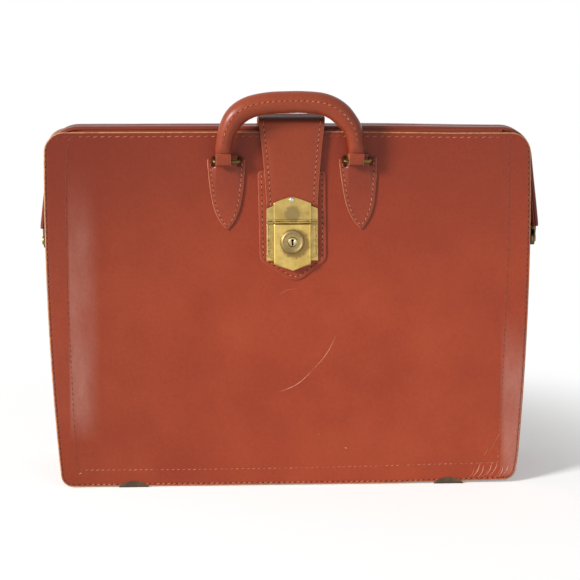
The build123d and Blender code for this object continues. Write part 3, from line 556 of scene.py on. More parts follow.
BASE_LINE = [  # across the base, over the top and then back underneath
    (-inner_y(2) + 0.1, 2.0), (-inner_y(6) + 0.1, 6.0), (-inner_y(9.4) + 0.25, 9.4),
    (-inner_y(10.3) + 0.9, 10.3), (-inner_y(10.6) + 1.9, 10.6), (-40, 10.6), (-20, 10.5),
    (0, 10.45), (20, 10.5), (40, 10.6), (inner_y(10.6) - 1.9, 10.6),
    (inner_y(10.3) - 0.9, 10.3), (inner_y(9.4) - 0.25, 9.4), (inner_y(6) - 0.1, 6.0),
    (inner_y(2) - 0.1, 2.0), (inner_y(2) - 2.5, 2.0), (inner_y(7.4) - 2.6, 7.4),
    (inner_y(8) - 3.3, 8.0), (30, 7.95), (0, 7.9), (-30, 7.95), (-inner_y(8) + 3.3, 8.0),
    (-inner_y(7.4) + 2.6, 7.4), (-inner_y(2) + 2.5, 2.0),
]
verts = []
STOPS = 60
for k in range(STOPS + 1):
    x = BODY_X - BASE_HALF + 2 * BASE_HALF * k / STOPS
    sag = 0.35 * noise.noise(Vector((x / 50, 0.3, 1.7)))
    verts += [Vector((x, y, z + (sag if abs(y) < 45 else 0))) * MM for y, z in BASE_LINE]
size = len(BASE_LINE)
faces = wrapped(size, STOPS + 1) + end_caps(size, len(verts))
BASE_HIDE = bridle_hide("bridle_hide_base", "#7A2E18", "#8C3A20", "#6C2615", 0.46, 0.0)
base = mesh_piece("base_hide", verts, faces, [BASE_HIDE, CUT_EDGE],
                  [0] * (STOPS * size) + [1, 1])
fit(base, "base", "base_panel")


def fibre_board(name):
    """Pressed fibre board: brown, matt, with short fibres about 3 mm long in it."""
    made, tree, shader = new_finish(name)
    place = node(tree, "TexCoord").outputs["Object"]
    lying = node(tree, "Mapping", {3: (330, 900, 400)}, {0: place})
    fibre = node(tree, "TexNoise", {"Scale": 1, "Detail": 5}, {"Vector": lying.outputs[0]})
    share = node(tree, "MapRange", {1: 0.35, 2: 0.65}, {0: fibre.outputs[0]})
    dye = node(tree, "Mix", {6: linear("#5C4936"), 7: linear("#8A7052")}, {0: share.outputs[0]},
               data_type="RGBA")
    tree.links.new(dye.outputs[2], shader.inputs["Base Color"])
    bump = node(tree, "Bump", {"Strength": 0.3, "Distance": 0.0003}, {"Height": fibre.outputs[0]})
    tree.links.new(bump.outputs[0], shader.inputs["Normal"])
    shader.inputs["Roughness"].default_value = 0.8
    return made


def coat_node(coat, *names):
    """Gives CAD nodes that stay a finish."""
    for name in names:
        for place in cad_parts[name].material_slots:
            place.material = coat


coat_node(fibre_board("pressed_fibre_board"), "base_board")

# Gussets
# One softer hide for each end, sewn raw edges together with the panels and folded inwards
# down its middle.
GUSSET_T, PIVOT_Z = 2.2, 214.1
GUSSET_HIDE = bridle_hide("gusset_hide", "#742A17", "#86361E", "#6A2413", 0.44, 0.4)


def ease(t):
    """A rounded step from 0 to 1."""
    t = min(max(t, 0), 1)
    return t * t * (3 - 2 * t)


def fold_depth(z):
    """How far the crease lies inside the gusset's wall: an ease-in, then level."""
    return 3 + 44 * ease((z - 14) / (PIVOT_Z - 14))


def gusset_line(z):
    """The middle of the hide from its raw edge, over the seam and in to the crease."""
    v = z / cos(LEAN)
    edge = panel_half(v) - 0.1
    wall, y, deep = edge - 8, inner_y(z) - 0.1 - GUSSET_T / 2, fold_depth(z)
    line = [(edge - 8 * k / 5, y) for k in range(5)]
    soft = 0.16
    for k in range(0, 17):
        q = 1 - k / 16  # 1 at the seam, 0 at the crease
        curve = (sqrt(1 + soft ** 2) - sqrt(q * q + soft ** 2)) / (sqrt(1 + soft ** 2) - soft)
        pucker = 0.5 * sin(pi * q) * noise.noise(Vector((z / 22, q * 2, 5.0)))
        line.append((wall - 0.6 - (deep - 1.2) * curve - pucker, q * (y - 0.3)))
    return line


def gusset_half(word, hand, body, side):
    """Half of one gusset, from the seam on one panel to the crease."""
    heights = [10.8 + (298 - 10.8) * k / 66 for k in range(67)]
    verts = []
    for z in heights:
        line = [Vector(p) for p in gusset_line(z)]
        loop = []
        for k, p in enumerate(line):
            way = way_at(line, k) if k < len(line) - 1 else Vector((0, -1))
            off = Vector((way.y, -way.x)) * GUSSET_T / 2
            loop.append((p + off, p - off))
        around = [a for a, _ in loop] + [b for _, b in reversed(loop)]
        verts += [Vector((BODY_X + hand * p.x, side * p.y, z)) * MM for p in around]
    size = len(verts) // len(heights)
    faces = wrapped(size, len(heights))
    kinds = ([0] * (size - 1) + [1]) * (len(heights) - 1)
    top = (len(heights) - 1) * size
    half = size // 2
    for i in range(half - 1):
        faces += [(i, i + 1, size - 2 - i, size - 1 - i),
                  (top + i, top + i + 1, top + size - 2 - i, top + size - 1 - i)]
        kinds += [1, 1]
    made = mesh_piece(f"gusset_{word}_{body}_half", verts, faces, [GUSSET_HIDE, CUT_EDGE], kinds)
    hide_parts("gusset_" + word, "gusset_fold_" + word)
    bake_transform(made)


for hand, word in ((-1, "left"), (1, "right")):
    gusset_half(word, hand, "front", -1)
    gusset_half(word, hand, "back", 1)

# Linings, pocket and hems
# Thin split hide pasted inside each panel, with a flat pocket sewn to the front one, and
# narrow hems of hide that join the panels to the covers of the frame.


def split_hide(name):
    """Split hide: a short suede nap, pale and matt, rubbed darker in places."""
    made, tree, shader = new_finish(name)
    place = node(tree, "TexCoord").outputs["Object"]
    rub = node(tree, "TexNoise", {"Scale": 25, "Detail": 5}, {"Vector": place})
    share = node(tree, "MapRange", {1: 0.35, 2: 0.65}, {0: rub.outputs[0]})
    dye = node(tree, "Mix", {6: linear("#8C6446"), 7: linear("#AD8260")}, {0: share.outputs[0]},
               data_type="RGBA")
    tree.links.new(dye.outputs[2], shader.inputs["Base Color"])
    nap = node(tree, "TexNoise", {"Scale": 1400, "Detail": 3}, {"Vector": place})
    bump = node(tree, "Bump", {"Strength": 0.5, "Distance": 0.0003}, {"Height": nap.outputs[0]})
    tree.links.new(bump.outputs[0], shader.inputs["Normal"])
    shader.inputs["Roughness"].default_value = 0.85
    shader.inputs["Sheen Weight"].default_value = 0.25
    return made


SUEDE = split_hide("split_hide_lining")


def inside_front(x, v, n):
    """A point seen from inside the case: n is how far it stands into the case."""
    return front(-x, v, -PANEL_T - n)


def inside_back(x, v, n):
    """The same on the back panel."""
    return back(-x, v, -PANEL_T - n)


def over_lock(x, v):
    """The lining's swell over the lock's back plate and its clinched posts."""
    return 2.0 * ease((29 - abs(x)) / 4.5) * ease((22 - abs(v - 218.5)) / 4.5)


def lining(name, middle, place, swell, node_name, body):
    """A lining sheet, sewn round its border."""
    corners = panel_corners(middle, 17.5, 297, 17.5, 3, 5, 0)
    made = hide_piece(name, corners, place, 0.05, 1.0, [SUEDE, CUT_EDGE, FLESH], (2.5,), swell,
                      fill=56 if swell else 12, step=3.0, lip=0.3)
    fit(made, body, node_name)
    row = knife_line(corners, 2.5)
    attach(sew(name + "_stitches", [(row + row[:1], 6)], place, 0.85, SEWN, seed=5), body)


lining("front_lining_hide", -BODY_X, inside_front, over_lock, "front_lining", "front")
lining("back_lining_hide", BODY_X, inside_back, None, "back_lining", "back")


def pocket_corners(inset=0.0):
    """The pocket's border: its mouth dips in the middle."""
    sides = panel_corners(-BODY_X, 18.0 + inset, 190 - inset, 18 + inset, 2, 5, 0)
    mouth = [(-BODY_X + 90 * cos(a), 190 - inset - 12 * sin(a), 0)
             for a in [pi * k / 24 for k in range(25)]]
    high = [i for i, c in enumerate(sides) if c[1] == 190 - inset]
    return sides[:high[0] + 1] + mouth + sides[high[-1]:]


pocket = hide_piece("document_pocket_hide", pocket_corners(), inside_front, 1.05, 2.3,
                    [SUEDE, CUT_EDGE, FLESH], (), lambda x, v: 0.5 * max(0, sin(pi * v / 200)) ** 0.5,
                    fill=14, step=3.0, lip=0.4)
fit(pocket, "front", "document_pocket")
pocket_row = knife_line(panel_corners(-BODY_X, 20.5, 187, 20.5, 1, 5, 0), 0)
pocket_high = [i for i, p in enumerate(pocket_row) if p.y > 186.5]
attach(sew("document_pocket_stitches",
            [(pocket_row[pocket_high[-1]:] + pocket_row[:pocket_high[0] + 1], 6)],
            inside_front, 2.35, SEWN, seed=6), "front")


def band(name, stations, coats, half, thick, row=0.0, edge=0.6):
    """A strip of hide along stations (middle of its inner face, across, out). half(i) is
    half its width and row the inset of its sewing rows."""
    verts = []
    for i, (at, across, out) in enumerate(stations):
        w = half(i)
        lip = min(edge, thick / 3, w / 3)
        dents = [row - 1, row - 0.35, row + 0.35, row + 1] if row else []
        dents = [min(d, w * 0.9) for d in dents]
        top = [(w, thick - 1.5 * lip), (w - 0.03, thick - 0.8 * lip),
               (w - 0.3 * lip, thick - 0.22 * lip), (w - lip, thick)]
        top += [(w - d, thick - (0.2 if k in (1, 2) else 0)) for k, d in enumerate(dents)]
        top += [(w * f, thick) for f in (0.55, 0.25)]
        line = top + [(0, thick)] + [(-u, n) for u, n in reversed(top)]
        line += [(-w, 0.3 * lip), (-w + 0.3 * lip, 0), (-w * 0.5, 0), (w * 0.5, 0),
                 (w - 0.3 * lip, 0), (w, 0.3 * lip)]
        verts += [at + across * (u * MM) + out * (n * MM) for u, n in line]
    size, turn = len(line), len(top) * 2
    rim = {0, 1, 2, turn - 2, turn - 1, turn, turn + 1, size - 2, size - 1}
    faces = wrapped(size, len(stations)) + end_caps(size, len(verts))
    kinds = [int(k in rim) for k in range(size)] * (len(stations) - 1) + [1, 1]
    return mesh_piece(name, verts, faces, coats, kinds)


def along_yz(line, x=0.0):
    """Stations of a strip that follows (y, z) points, in mm, its outer face to their left."""
    stations = []
    for i, (y, z) in enumerate(line):
        (ya, za), (yb, zb) = line[max(i - 1, 0)], line[min(i + 1, len(line) - 1)]
        long = sqrt((yb - ya) ** 2 + (zb - za) ** 2)
        out = Vector((0, -(zb - za) / long, (yb - ya) / long))
        stations.append((Vector((x, y, z)) * MM, Vector((1, 0, 0)), out))
    return stations


def yz(p):
    """(y, z) in mm of a point in metres."""
    return p.y / MM, p.z / MM


HEM_HALF = 181.5
HEM_HIDE = bridle_hide("bridle_hide_hem", "#7C2E19", "#8C381F", "#702715", 0.4, 0.3)
hem_line = [yz(front(0, v, -4.4)) for v in (298, 303, 308, 312, 314.2)]
hem_line += [(-14.75, 313.3), (-14.1, 313.55), (-13.6, 313.35), (-13.25, 313.0)]
hem = band("front_hem_hide", along_yz(hem_line), [HEM_HIDE, CUT_EDGE], lambda i: HEM_HALF + 6, 1.0,
           2.6)
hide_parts("front_hem")
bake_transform(hem)
hem = band("back_hem_hide", along_yz([yz(back(0, v, -4.35)) for v in (307.5, 304, 301, 298)]),
           [HEM_HIDE, CUT_EDGE], lambda i: HEM_HALF, 1.3, 2.6)
fit(hem, "back", "back_hem")

# Frame
# Two flat steel jaws bent to a U and brass plated, each in a sewn sleeve of hide. A rivet
# at each end joins them, so that they open and shut as one wide mouth.


def metal(name, bright, dull, rough=0.34, marks=(), patina="#6E5B38", wear=1.0):
    """Old plated or solid metal that was polished and has dulled: clouded, finely scratched,
    and darker in each mark (x, y, z, radius in mm)."""
    made, tree, shader = new_finish(name)
    place = node(tree, "TexCoord").outputs["Object"]
    # clouds about 12 mm across, and spots about 1.5 mm across
    cloud = node(tree, "TexNoise", {"Scale": 85, "Detail": 5, "Roughness": 0.6}, {"Vector": place})
    share = node(tree, "MapRange", {1: 0.35, 2: 0.68}, {0: cloud.outputs[0]})
    colour = node(tree, "Mix", {6: linear(bright), 7: linear(dull)}, {0: share.outputs[0]},
                  data_type="RGBA").outputs[2]
    spots = node(tree, "TexNoise", {"Scale": 650, "Detail": 2}, {"Vector": place})
    pitted = node(tree, "MapRange", {1: 0.62, 2: 0.75, 4: 0.55 * wear}, {0: spots.outputs[0]})
    colour = node(tree, "Mix", {7: linear(patina)}, {0: pitted.outputs[0], 6: colour},
                  data_type="RGBA").outputs[2]
    dark = pitted.outputs[0]
    for x, y, z, radius in marks:
        away = node(tree, "VectorMath", {1: (x * MM, y * MM, z * MM)}, {0: place},
                    operation="DISTANCE")
        ragged = node(tree, "Math", {1: 0.006, 2: -0.003}, {0: spots.outputs[0]},
                      operation="MULTIPLY_ADD")
        reach = node(tree, "Math", {}, {0: away.outputs["Value"], 1: ragged.outputs[0]},
                     operation="ADD")
        inside = node(tree, "MapRange", {1: radius * MM, 2: (radius - 2.2) * MM, 4: 0.8},
                      {0: reach.outputs[0]})
        colour = node(tree, "Mix", {7: linear(patina)}, {0: inside.outputs[0], 6: colour},
                      data_type="RGBA").outputs[2]
        dark = node(tree, "Math", {}, {0: dark, 1: inside.outputs[0]}, operation="MAXIMUM").outputs[0]
    tree.links.new(colour, shader.inputs["Base Color"])
    shader.inputs["Metallic"].default_value = 1.0
    blur = node(tree, "Math", {1: 0.25}, {0: dark, 2: cloud.outputs[0]}, operation="MULTIPLY_ADD")
    sheen = node(tree, "MapRange", {1: 0.3, 2: 0.95, 3: rough - 0.05, 4: rough + 0.2},
                 {0: blur.outputs[0]})
    tree.links.new(sheen.outputs[0], shader.inputs["Roughness"])
    # hairline scratches across, drawn 0.5 mm wide so that they show
    drawn = node(tree, "Mapping", {3: (90, 700, 2000)}, {0: place})
    scratch = node(tree, "TexNoise", {"Scale": 1, "Detail": 4, "Roughness": 0.7},
                   {"Vector": drawn.outputs[0]})
    bump = node(tree, "Bump", {"Strength": 0.16 * wear, "Distance": 0.00015},
                {"Height": scratch.outputs[0]})
    tree.links.new(bump.outputs[0], shader.inputs["Normal"])
    return made


JAW_METAL = metal("brass_plated_steel", "#8E7B55", "#5E4F38", 0.38, patina="#3A2E20")
coat_node(JAW_METAL, "front_frame", "back_frame")
coat_node(metal("brass_rivet", "#A68C58", "#7B673F", 0.34), "pivot_rivets")
SLEEVE_HIDE = bridle_hide("bridle_hide_sleeve", "#6E2A19", "#80351F", "#782E1D", 0.36, 0.6)
SLEEVE_W, SLEEVE_T, SLEEVE_R, JAW_Y = 12.8, 7.0, 3.3, 6.8
jaw_corners = [(220, 226.6, 0), (220, 229.1, 8), (209.5, 314.3, 24), (-209.5, 314.3, 24),
               (-220, 229.1, 8), (-220, 226.6, 0)]


def sleeve_section():
    """The sleeve's rounded cross-section, a little pinched where it is sewn inside."""
    points = []
    for cx, cy, a0 in ((1, 1, 0), (-1, 1, 90), (-1, -1, 180), (1, -1, 270)):
        for k in range(6):
            a = radians(a0 + 90 * k / 5)
            points.append((cx * (SLEEVE_W / 2 - SLEEVE_R) + SLEEVE_R * cos(a),
                           cy * (SLEEVE_T / 2 - SLEEVE_R) + SLEEVE_R * sin(a)))
        points.append((points[-1][0] * (0.4 if cx != cy else 1), points[-1][1]))
    return points


def sleeve(name, side, node_name, body):
    """The sewn sleeve of one jaw, with small gathers round its corners."""
    path = knife_line(jaw_corners, 0, 3.0, closed=False)
    section = sleeve_section()
    verts, ways = [], [way_at(path, i) for i in range(len(path))]
    for i, p in enumerate(path):
        out = Vector((ways[i].y, 0, -ways[i].x))  # out of the U
        corner = max(0, 1 - abs((abs(p.x) - 203) / 12)) * (p.y > 290)
        for a, b in section:
            gather = 0.16 * corner * sin(i * 2.1) * (b < 1)
            puff = 0.12 * noise.noise(Vector((p.x / 14, p.y / 14, a / 5 + side)))
            grow = 1 + (gather + puff) / 4
            low = min(max((p.x - 60) / 130, 0), 1) * min(max((p.y - 235) / 60, 0), 1)
            verts.append((Vector((p.x, side * JAW_Y, p.y)) + Vector((0, 1, 0)) * (a * grow)
                          + out * (b * grow) - Vector((0, 0, 1.7 * ease(low)))) * MM)
    size = len(section)
    faces = wrapped(size, len(path)) + end_caps(size, len(verts))
    kinds = [0] * (len(faces) - 2) + [1, 1]
    made = mesh_piece(name, verts, faces, [SLEEVE_HIDE, CUT_EDGE], kinds)
    fit(made, body, node_name)
    # the closing seam runs under the roll, inside the mouth
    reach = run_of(path)

    def seam(s, w, n):
        """s along the jaw, w to the side, n out of the sleeve's inner face."""
        i, t = stop_at(reach, s)
        p, way = path[i].lerp(path[i + 1], t), ways[i].lerp(ways[i + 1], t)
        return Vector((p.x - way.y * (SLEEVE_T / 2 + n), side * JAW_Y + w,
                       p.y + way.x * (SLEEVE_T / 2 + n))) * MM

    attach(sew(name + "_stitches", [([(8, 0), (reach[-1] - 8, 0)], 5.5)], seam, -0.05, SEWN,
                seed=9), body)


sleeve("front_jaw_sleeve", -1, "front_frame_cover", "front_jaw")
sleeve("back_jaw_sleeve", 1, "back_frame_cover", "back_jaw")

# Lock
# A backing tab of hide sewn to the panel, with a pressed brass lock on it: a base plate,
# a hollow cover with a raised middle, and a round knob that slides down to draw the bolt.
TAB_HIDE = bridle_hide("bridle_hide_tab", "#90391F", "#A04529", "#84321B", 0.36, 0.35)
TAB = [TAB_HIDE, CUT_EDGE, FLESH]
patch_corners = [(-30.2, 281.5, 4.0), (-28.6, 202.0, 9), (3.0, 181.4, 14), (30.4, 202.5, 10),
                 (29.8, 281.5, 4.0)]
patch = hide_piece("lock_backing_tab", patch_corners, front, 0.0, 2.0, TAB, (3.2,), None, 6, 2.0)
fit(patch, "front", "lock_patch")
patch_row = knife_line(patch_corners, 3.2, 2.0)
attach(sew("lock_backing_stitches", [(patch_row + [patch_row[0]], 4.8)], front, 1.95, SEWN,
            seed=11), "front")

WING_BRASS = metal("dulled_brass_wings", "#BFA566", "#9C824F", 0.4, patina="#6B5434")
# the mark round the knob is part tarnish and part painted shadow of the knob, to its right and below
LOCK_BRASS = metal("pressed_brass_lock", "#DDBF70", "#BA9C55", 0.33,
                   marks=[(2.4, -39.6, 216.4, 14.0)], patina="#7C6238")
HASP_BRASS = metal("pressed_brass_hasp", "#CBAE68", "#AC9050", 0.33,
                   marks=[(0.2, -36.5, 242.2, 8.3), (13.6, -36.4, 243.2, 2.6)], patina="#86714C")
KNOB_BRASS = metal("turned_brass_knob", "#A69062", "#837049", 0.52, patina="#5E4B2E")
PLUG_BRASS = metal("turned_brass_plug", "#D2C08E", "#AA966A", 0.3, patina="#6B5A3A")
STEEL = metal("plain_steel", "#9B9890", "#6F6C66", 0.36, patina="#4B3A2C")
coat_node(LOCK_BRASS, "lock_plate", "lock_posts")
coat_node(STEEL, "lock_backplate", "lock_bolt")


def pressed(name, corners, low, high, coat, soft, body, step=1.2):
    """A pressed or cut piece of sheet metal with softened edges."""
    made = hide_piece(name, corners, front, low, high, [coat] * 3, (), None, 3, step, soft)
    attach(made, body)
    return made


# the hollow cover: two lower wings, and the raised middle that ends in a point
wings = pressed("lock_cover_wings", [(-22.8, 234.4, 0.4), (-22.8, 206.2, 1.0), (-15.0, 202.6, 0.5),
                                     (15.0, 202.6, 0.5), (22.8, 206.2, 1.0), (22.8, 234.4, 0.4)],
                3.0, 5.4, WING_BRASS, 0.6, "front")
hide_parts("lock_cover")
for hand in (-1, 1):
    pressed(f"lock_cover_ridge_{'left' if hand < 0 else 'right'}",
            [(hand * 20.9 - 1.1, 206.8, 0.3), (hand * 20.9 + 1.1, 207.6 if hand < 0 else 207.0, 0.3),
             (hand * 20.9 + 1.1, 234.2, 0.3), (hand * 20.9 - 1.1, 234.2, 0.3)],
            5.2, 5.9, WING_BRASS, 0.5, "front", 0.8)
pressed("lock_cover_middle", [(-16.6, 234.5, 0.4), (-16.6, 199.3, 0.8), (0.4, 192.7, 1.2),
                              (16.6, 199.3, 0.8), (16.6, 234.5, 0.4)],
        3.0, 7.9, LOCK_BRASS, 1.3, "front")


def turned(name, x, v, profile, coat, body, parts=72):
    """A lathe-turned piece whose axis stands on the panel; profile is (radius, n)."""
    verts = []
    for r, n in profile:
        verts += [front(x + r * cos(2 * pi * k / parts), v + r * sin(2 * pi * k / parts), n)
                  for k in range(parts)]
    faces = wrapped(parts, len(profile)) + end_caps(parts, len(verts))
    made = mesh_piece(name, verts, faces, [coat])
    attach(made, body)
    return made


# the knob: a chamfered rim, a sunk face and two small holes for a pin spanner
KNOB_V = 218.7
knob = turned("lock_knob_turned", 0, KNOB_V,
              [(3.9, 8.2), (10.5, 8.2), (10.7, 8.5), (10.7, 9.7), (10.45, 10.3), (9.1, 11.45),
               (8.75, 11.6), (8.5, 11.5), (8.35, 11.3), (5.2, 11.28), (4.75, 11.4), (4.35, 11.35),
               (4.15, 11.0), (4.1, 8.3)], KNOB_BRASS, "knob")
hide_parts("lock_knob")
KEYWAY = awl_hole_shade("shadow_in_keyway")
for a in (38, 142):
    turned(f"knob_spanner_hole_{a}", 8.2 * cos(radians(a)), KNOB_V + 8.2 * sin(radians(a)),
           [(0.55, 11.0), (0.55, 11.32), (0.4, 11.35), (0.15, 11.33)], KEYWAY, "knob", 12)

# the coil spring under the bolt
COIL_N, COIL_LOW, COIL_HIGH, COIL_R, WIRE_R, COIL_PARTS = 3.6, 205.7, 6.6, 1.15, 0.28, 66
verts = []
for k in range(COIL_PARTS + 1):
    a, v = 2 * pi * k / 16, COIL_LOW + COIL_HIGH * k / COIL_PARTS
    for j in range(6):
        b = 2 * pi * j / 6
        r = COIL_R + WIRE_R * cos(b)
        verts.append(front(r * cos(a), v + WIRE_R * sin(b), COIL_N + r * sin(a)))
faces = wrapped(6, COIL_PARTS + 1) + end_caps(6, len(verts))
spring = mesh_piece("bolt_coil_spring", verts, faces, [STEEL])
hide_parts("bolt_spring")
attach(spring, "front")
front(0, COIL_LOW - 0.3, COIL_N)
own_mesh(spring)

# the plug: a pale turned face round a keyhole cut 3 mm deep
RIM_PARTS = 96
SLOT_HALF, SLOT_LOW, KEYHOLE_UP, KEYHOLE_R = 0.72, 3.95, 0.7, 1.2
ring_out, ring_face, hole = [], [], []
for k in range(RIM_PARTS):
    a = 2 * pi * k / RIM_PARTS
    c, d = cos(a), sin(a)
    across = SLOT_HALF / max(abs(c), 1e-6)
    down = SLOT_LOW / max(-d, 1e-6) if d < 0 else KEYHOLE_UP / max(d, 1e-6)
    lift = KEYHOLE_UP * d
    bow_end = lift + sqrt(max(0, lift * lift - KEYHOLE_UP ** 2 + KEYHOLE_R ** 2))
    r = max(min(across, down), bow_end)
    hole.append((r * c, 0.6 + r * d))
    ring_out.append((3.85 * c, 3.85 * d))
    ring_face.append((3.5 * c, 3.5 * d))
rings = [(ring_out, 8.8), (ring_out, 11.25), (ring_face, 11.6), (hole, 11.6), (hole, 9.2)]
verts = [front(x, KNOB_V + v, n) for line, n in rings for x, v in line]
faces = wrapped(RIM_PARTS, len(rings)) + end_caps(RIM_PARTS, len(verts))
kinds = [0] * (3 * RIM_PARTS) + [1] * RIM_PARTS + [0, 1]
plug = mesh_piece("key_plug_turned", verts, faces, [PLUG_BRASS, KEYWAY], kinds)
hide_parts("key_plug")
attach(plug, "plug")

# Strap
# One long tab of doubled hide, sewn to the back panel, that comes over the top and down
# to the lock. It narrows towards the hasp and has a sewing row inside each edge.
STRAP_T, STRAP_ROW, STRAP_HALF = 3.2, 3.8, 29.5
# its top band, under the grip, is darkened as painted shade
STRAP_HIDE = bridle_hide("bridle_hide_strap", "#8C3A21", "#984328", "#85351D", 0.36, 0.5,
                         grip_shade_band=(0.3215, 0.3245))
STRAP = [STRAP_HIDE, CUT_EDGE]
BEND_R = 4.0
bend_at = yz(front(0, 321.6, 2.3))
rear_at = yz(back(0, 321.35, 0.3))
front_bend = (bend_at[0] + BEND_R * cos(LEAN), bend_at[1] - BEND_R * sin(LEAN))
rear_bend = (rear_at[0] - BEND_R * cos(LEAN), front_bend[1])


def arc(centre, radius, start, end, pieces):
    """Points of an arc in the y-z plane, in degrees from +y."""
    return [(centre[0] + radius * cos(radians(start + (end - start) * k / pieces)),
             centre[1] + radius * sin(radians(start + (end - start) * k / pieces)))
            for k in range(pieces + 1)]


LEAN_DEG = LEAN * 180 / pi
rear_line = [yz(back(0, v, 0.3)) for v in (246, 246.4, 247.5, 249.5, 252.5, 256.5, 261, 266, 272,
                                           280, 288, 296, 304, 311, 317)]
crown_z = front_bend[1] + BEND_R
rear_line += arc(rear_bend, BEND_R, LEAN_DEG, 90, 12) + [(6, crown_z), (0, crown_z)]
front_line = [(0, crown_z), (-6, crown_z)]
front_line += arc(front_bend, BEND_R, 90, 180 - LEAN_DEG, 12)
front_line += [yz(front(0, v, 2.3)) for v in (317, 311, 304, 297, 290, 283, 276, 269, 262, 255, 248)]


def flip(line):
    """The strap runs from back to front, so its outer face is on the right."""
    return [(at, across, -out) for at, across, out in along_yz(line)]


rear_run, front_run = run_of(rear_line), run_of(front_line)


def rear_half(s):
    """Half the strap's width near its sewn end, whose tip is rounded."""
    return STRAP_HALF * sqrt(max(0.004, 1 - max(0, 1 - s / 18) ** 2))


def front_half(s):
    """Half the strap's width on its way to the hasp, its sides drawn in a little."""
    t = max(0, (s - 17) / (front_run[-1] - 17))
    return STRAP_HALF - 7.0 * t - 0.9 * sin(pi * min(t, 1))


def on_strap(stations, run):
    """A place on the strap's outer face: u across, s along, n out."""
    def place(u, s, n):
        i, t = stop_at(run, s)
        a, b = stations[i], stations[i + 1]
        return (a[0].lerp(b[0], t) + a[1] * (u * MM)
                + a[2].lerp(b[2], t).normalized() * ((STRAP_T + n) * MM))
    return place


rear_stations, front_stations = flip(rear_line), flip(front_line)
rear_strap = band("strap_back_half", rear_stations, STRAP, lambda i: rear_half(rear_run[i]),
                  STRAP_T, STRAP_ROW)
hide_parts("strap_anchor")
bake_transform(rear_strap)
rear_rows = [(STRAP_ROW - STRAP_HALF, s) for s in range(int(rear_run[-1]), 18, -2)]
tip = [((STRAP_HALF - STRAP_ROW) * cos(a), 18 + 13 * sin(a))
       for a in [pi + pi * k / 24 for k in range(25)]]
rear_path = rear_rows + tip + [(-u, s) for u, s in reversed(rear_rows)]
rear_sewing = sew("strap_back_stitches", [(rear_path, 4.8)], on_strap(rear_stations, rear_run),
                  -0.05, SEWN, seed=13)
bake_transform(rear_sewing)
front_strap = band("strap_front_half", front_stations, STRAP, lambda i: front_half(front_run[i]),
                   STRAP_T, STRAP_ROW)
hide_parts("strap_top", "strap_front")
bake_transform(front_strap)
front_rows = [(front_half(s) - STRAP_ROW, s) for s in range(0, int(front_run[-1]), 2)]
front_sewing = sew("strap_front_stitches", [(front_rows, 4.8),
                                            ([(-u, s) for u, s in front_rows], 4.8)],
                   on_strap(front_stations, front_run), -0.05, SEWN, seed=14)
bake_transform(front_sewing)

# Hasp
# A pressed brass plate riveted over the strap's end, with a lip to lift it by and a
# staple behind it that the bolt's nose goes through.
hasp = pressed("hasp_wings", [(-22.5, 237.0, 0.4), (22.5, 237.0, 0.4), (22.5, 248.2, 0.8),
                              (14.0, 251.6, 0.5), (-14.0, 251.6, 0.5), (-22.5, 248.2, 0.8)],
               5.5, 6.5, WING_BRASS, 0.4, "strap_end")
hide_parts("hasp_plate")
pressed("hasp_middle", [(-16.6, 236.6, 0.4), (16.8, 236.6, 0.4), (16.8, 252.8, 1.0),
                        (9.0, 255.9, 14), (-0.3, 258.9, 5), (-9.0, 256.2, 14), (-16.6, 253.2, 1.0)],
        5.5, 7.9, HASP_BRASS, 0.9, "strap_end")
pressed("hasp_lip_middle", [(-16.9, 235.3, 0.6), (0, 234.8, 30), (16.9, 235.3, 0.6),
                            (16.9, 238.7, 0.6), (-16.9, 238.7, 0.6)],
        6.2, 9.5, HASP_BRASS, 1.2, "strap_end", 0.8)
for hand in (-1, 1):
    side = [(hand * 16.4, 235.4, 0.4), (hand * 22.9, 235.4, 0.6), (hand * 22.9, 238.3, 0.6),
            (hand * 16.4, 238.3, 0.4)]
    pressed(f"hasp_lip_{'left' if hand < 0 else 'right'}", side if hand > 0 else side[::-1],
            5.5, 7.6, WING_BRASS, 0.8, "strap_end", 0.8)
coat_node(LOCK_BRASS, "hasp_staple")
NICKEL = metal("nickel_rivet", "#D2CCBE", "#A39A88", 0.28, patina="#6B6454")
rivet = turned("hasp_rivet_head", -0.5, 255.6,
               [(1.6, 7.0), (2.45, 7.6), (2.45, 7.95), (2.2, 8.5), (1.5, 8.95), (0.7, 9.15),
                (0.1, 9.2)], NICKEL, "strap_end", 32)
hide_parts("hasp_rivet")

# Chapes and rings
# Pointed tabs of hide sewn to the panel, their tops cut to two horns with the middle
# folded round the back bar of a rectangular brass ring.
CHAPE_HIDE = bridle_hide("bridle_hide_chape", "#83321B", "#95402A", "#7E2F1A", 0.29, 0.3)
CHAPE_SIDE = [(229.6, 0.3), (231.5, 2.2), (234, 4.5), (237, 6.6), (241, 8.8), (246, 10.9),
              (252, 12.6), (259, 13.9), (267, 15.0), (276, 15.9), (285, 16.6), (288, 16.8)]
SPLIT_V, HORN_V, FLAT_N, TONGUE_T = 285.0, 292.6, 2.4, 1.35


def chape_half(v):
    """Half the tab's width at a height up the panel."""
    for (va, wa), (vb, wb) in zip(CHAPE_SIDE, CHAPE_SIDE[1:]):
        if v <= vb:
            t = (v - va) / (vb - va)
            return wa + (wb - wa) * max(t, 0)
    return CHAPE_SIDE[-1][1]


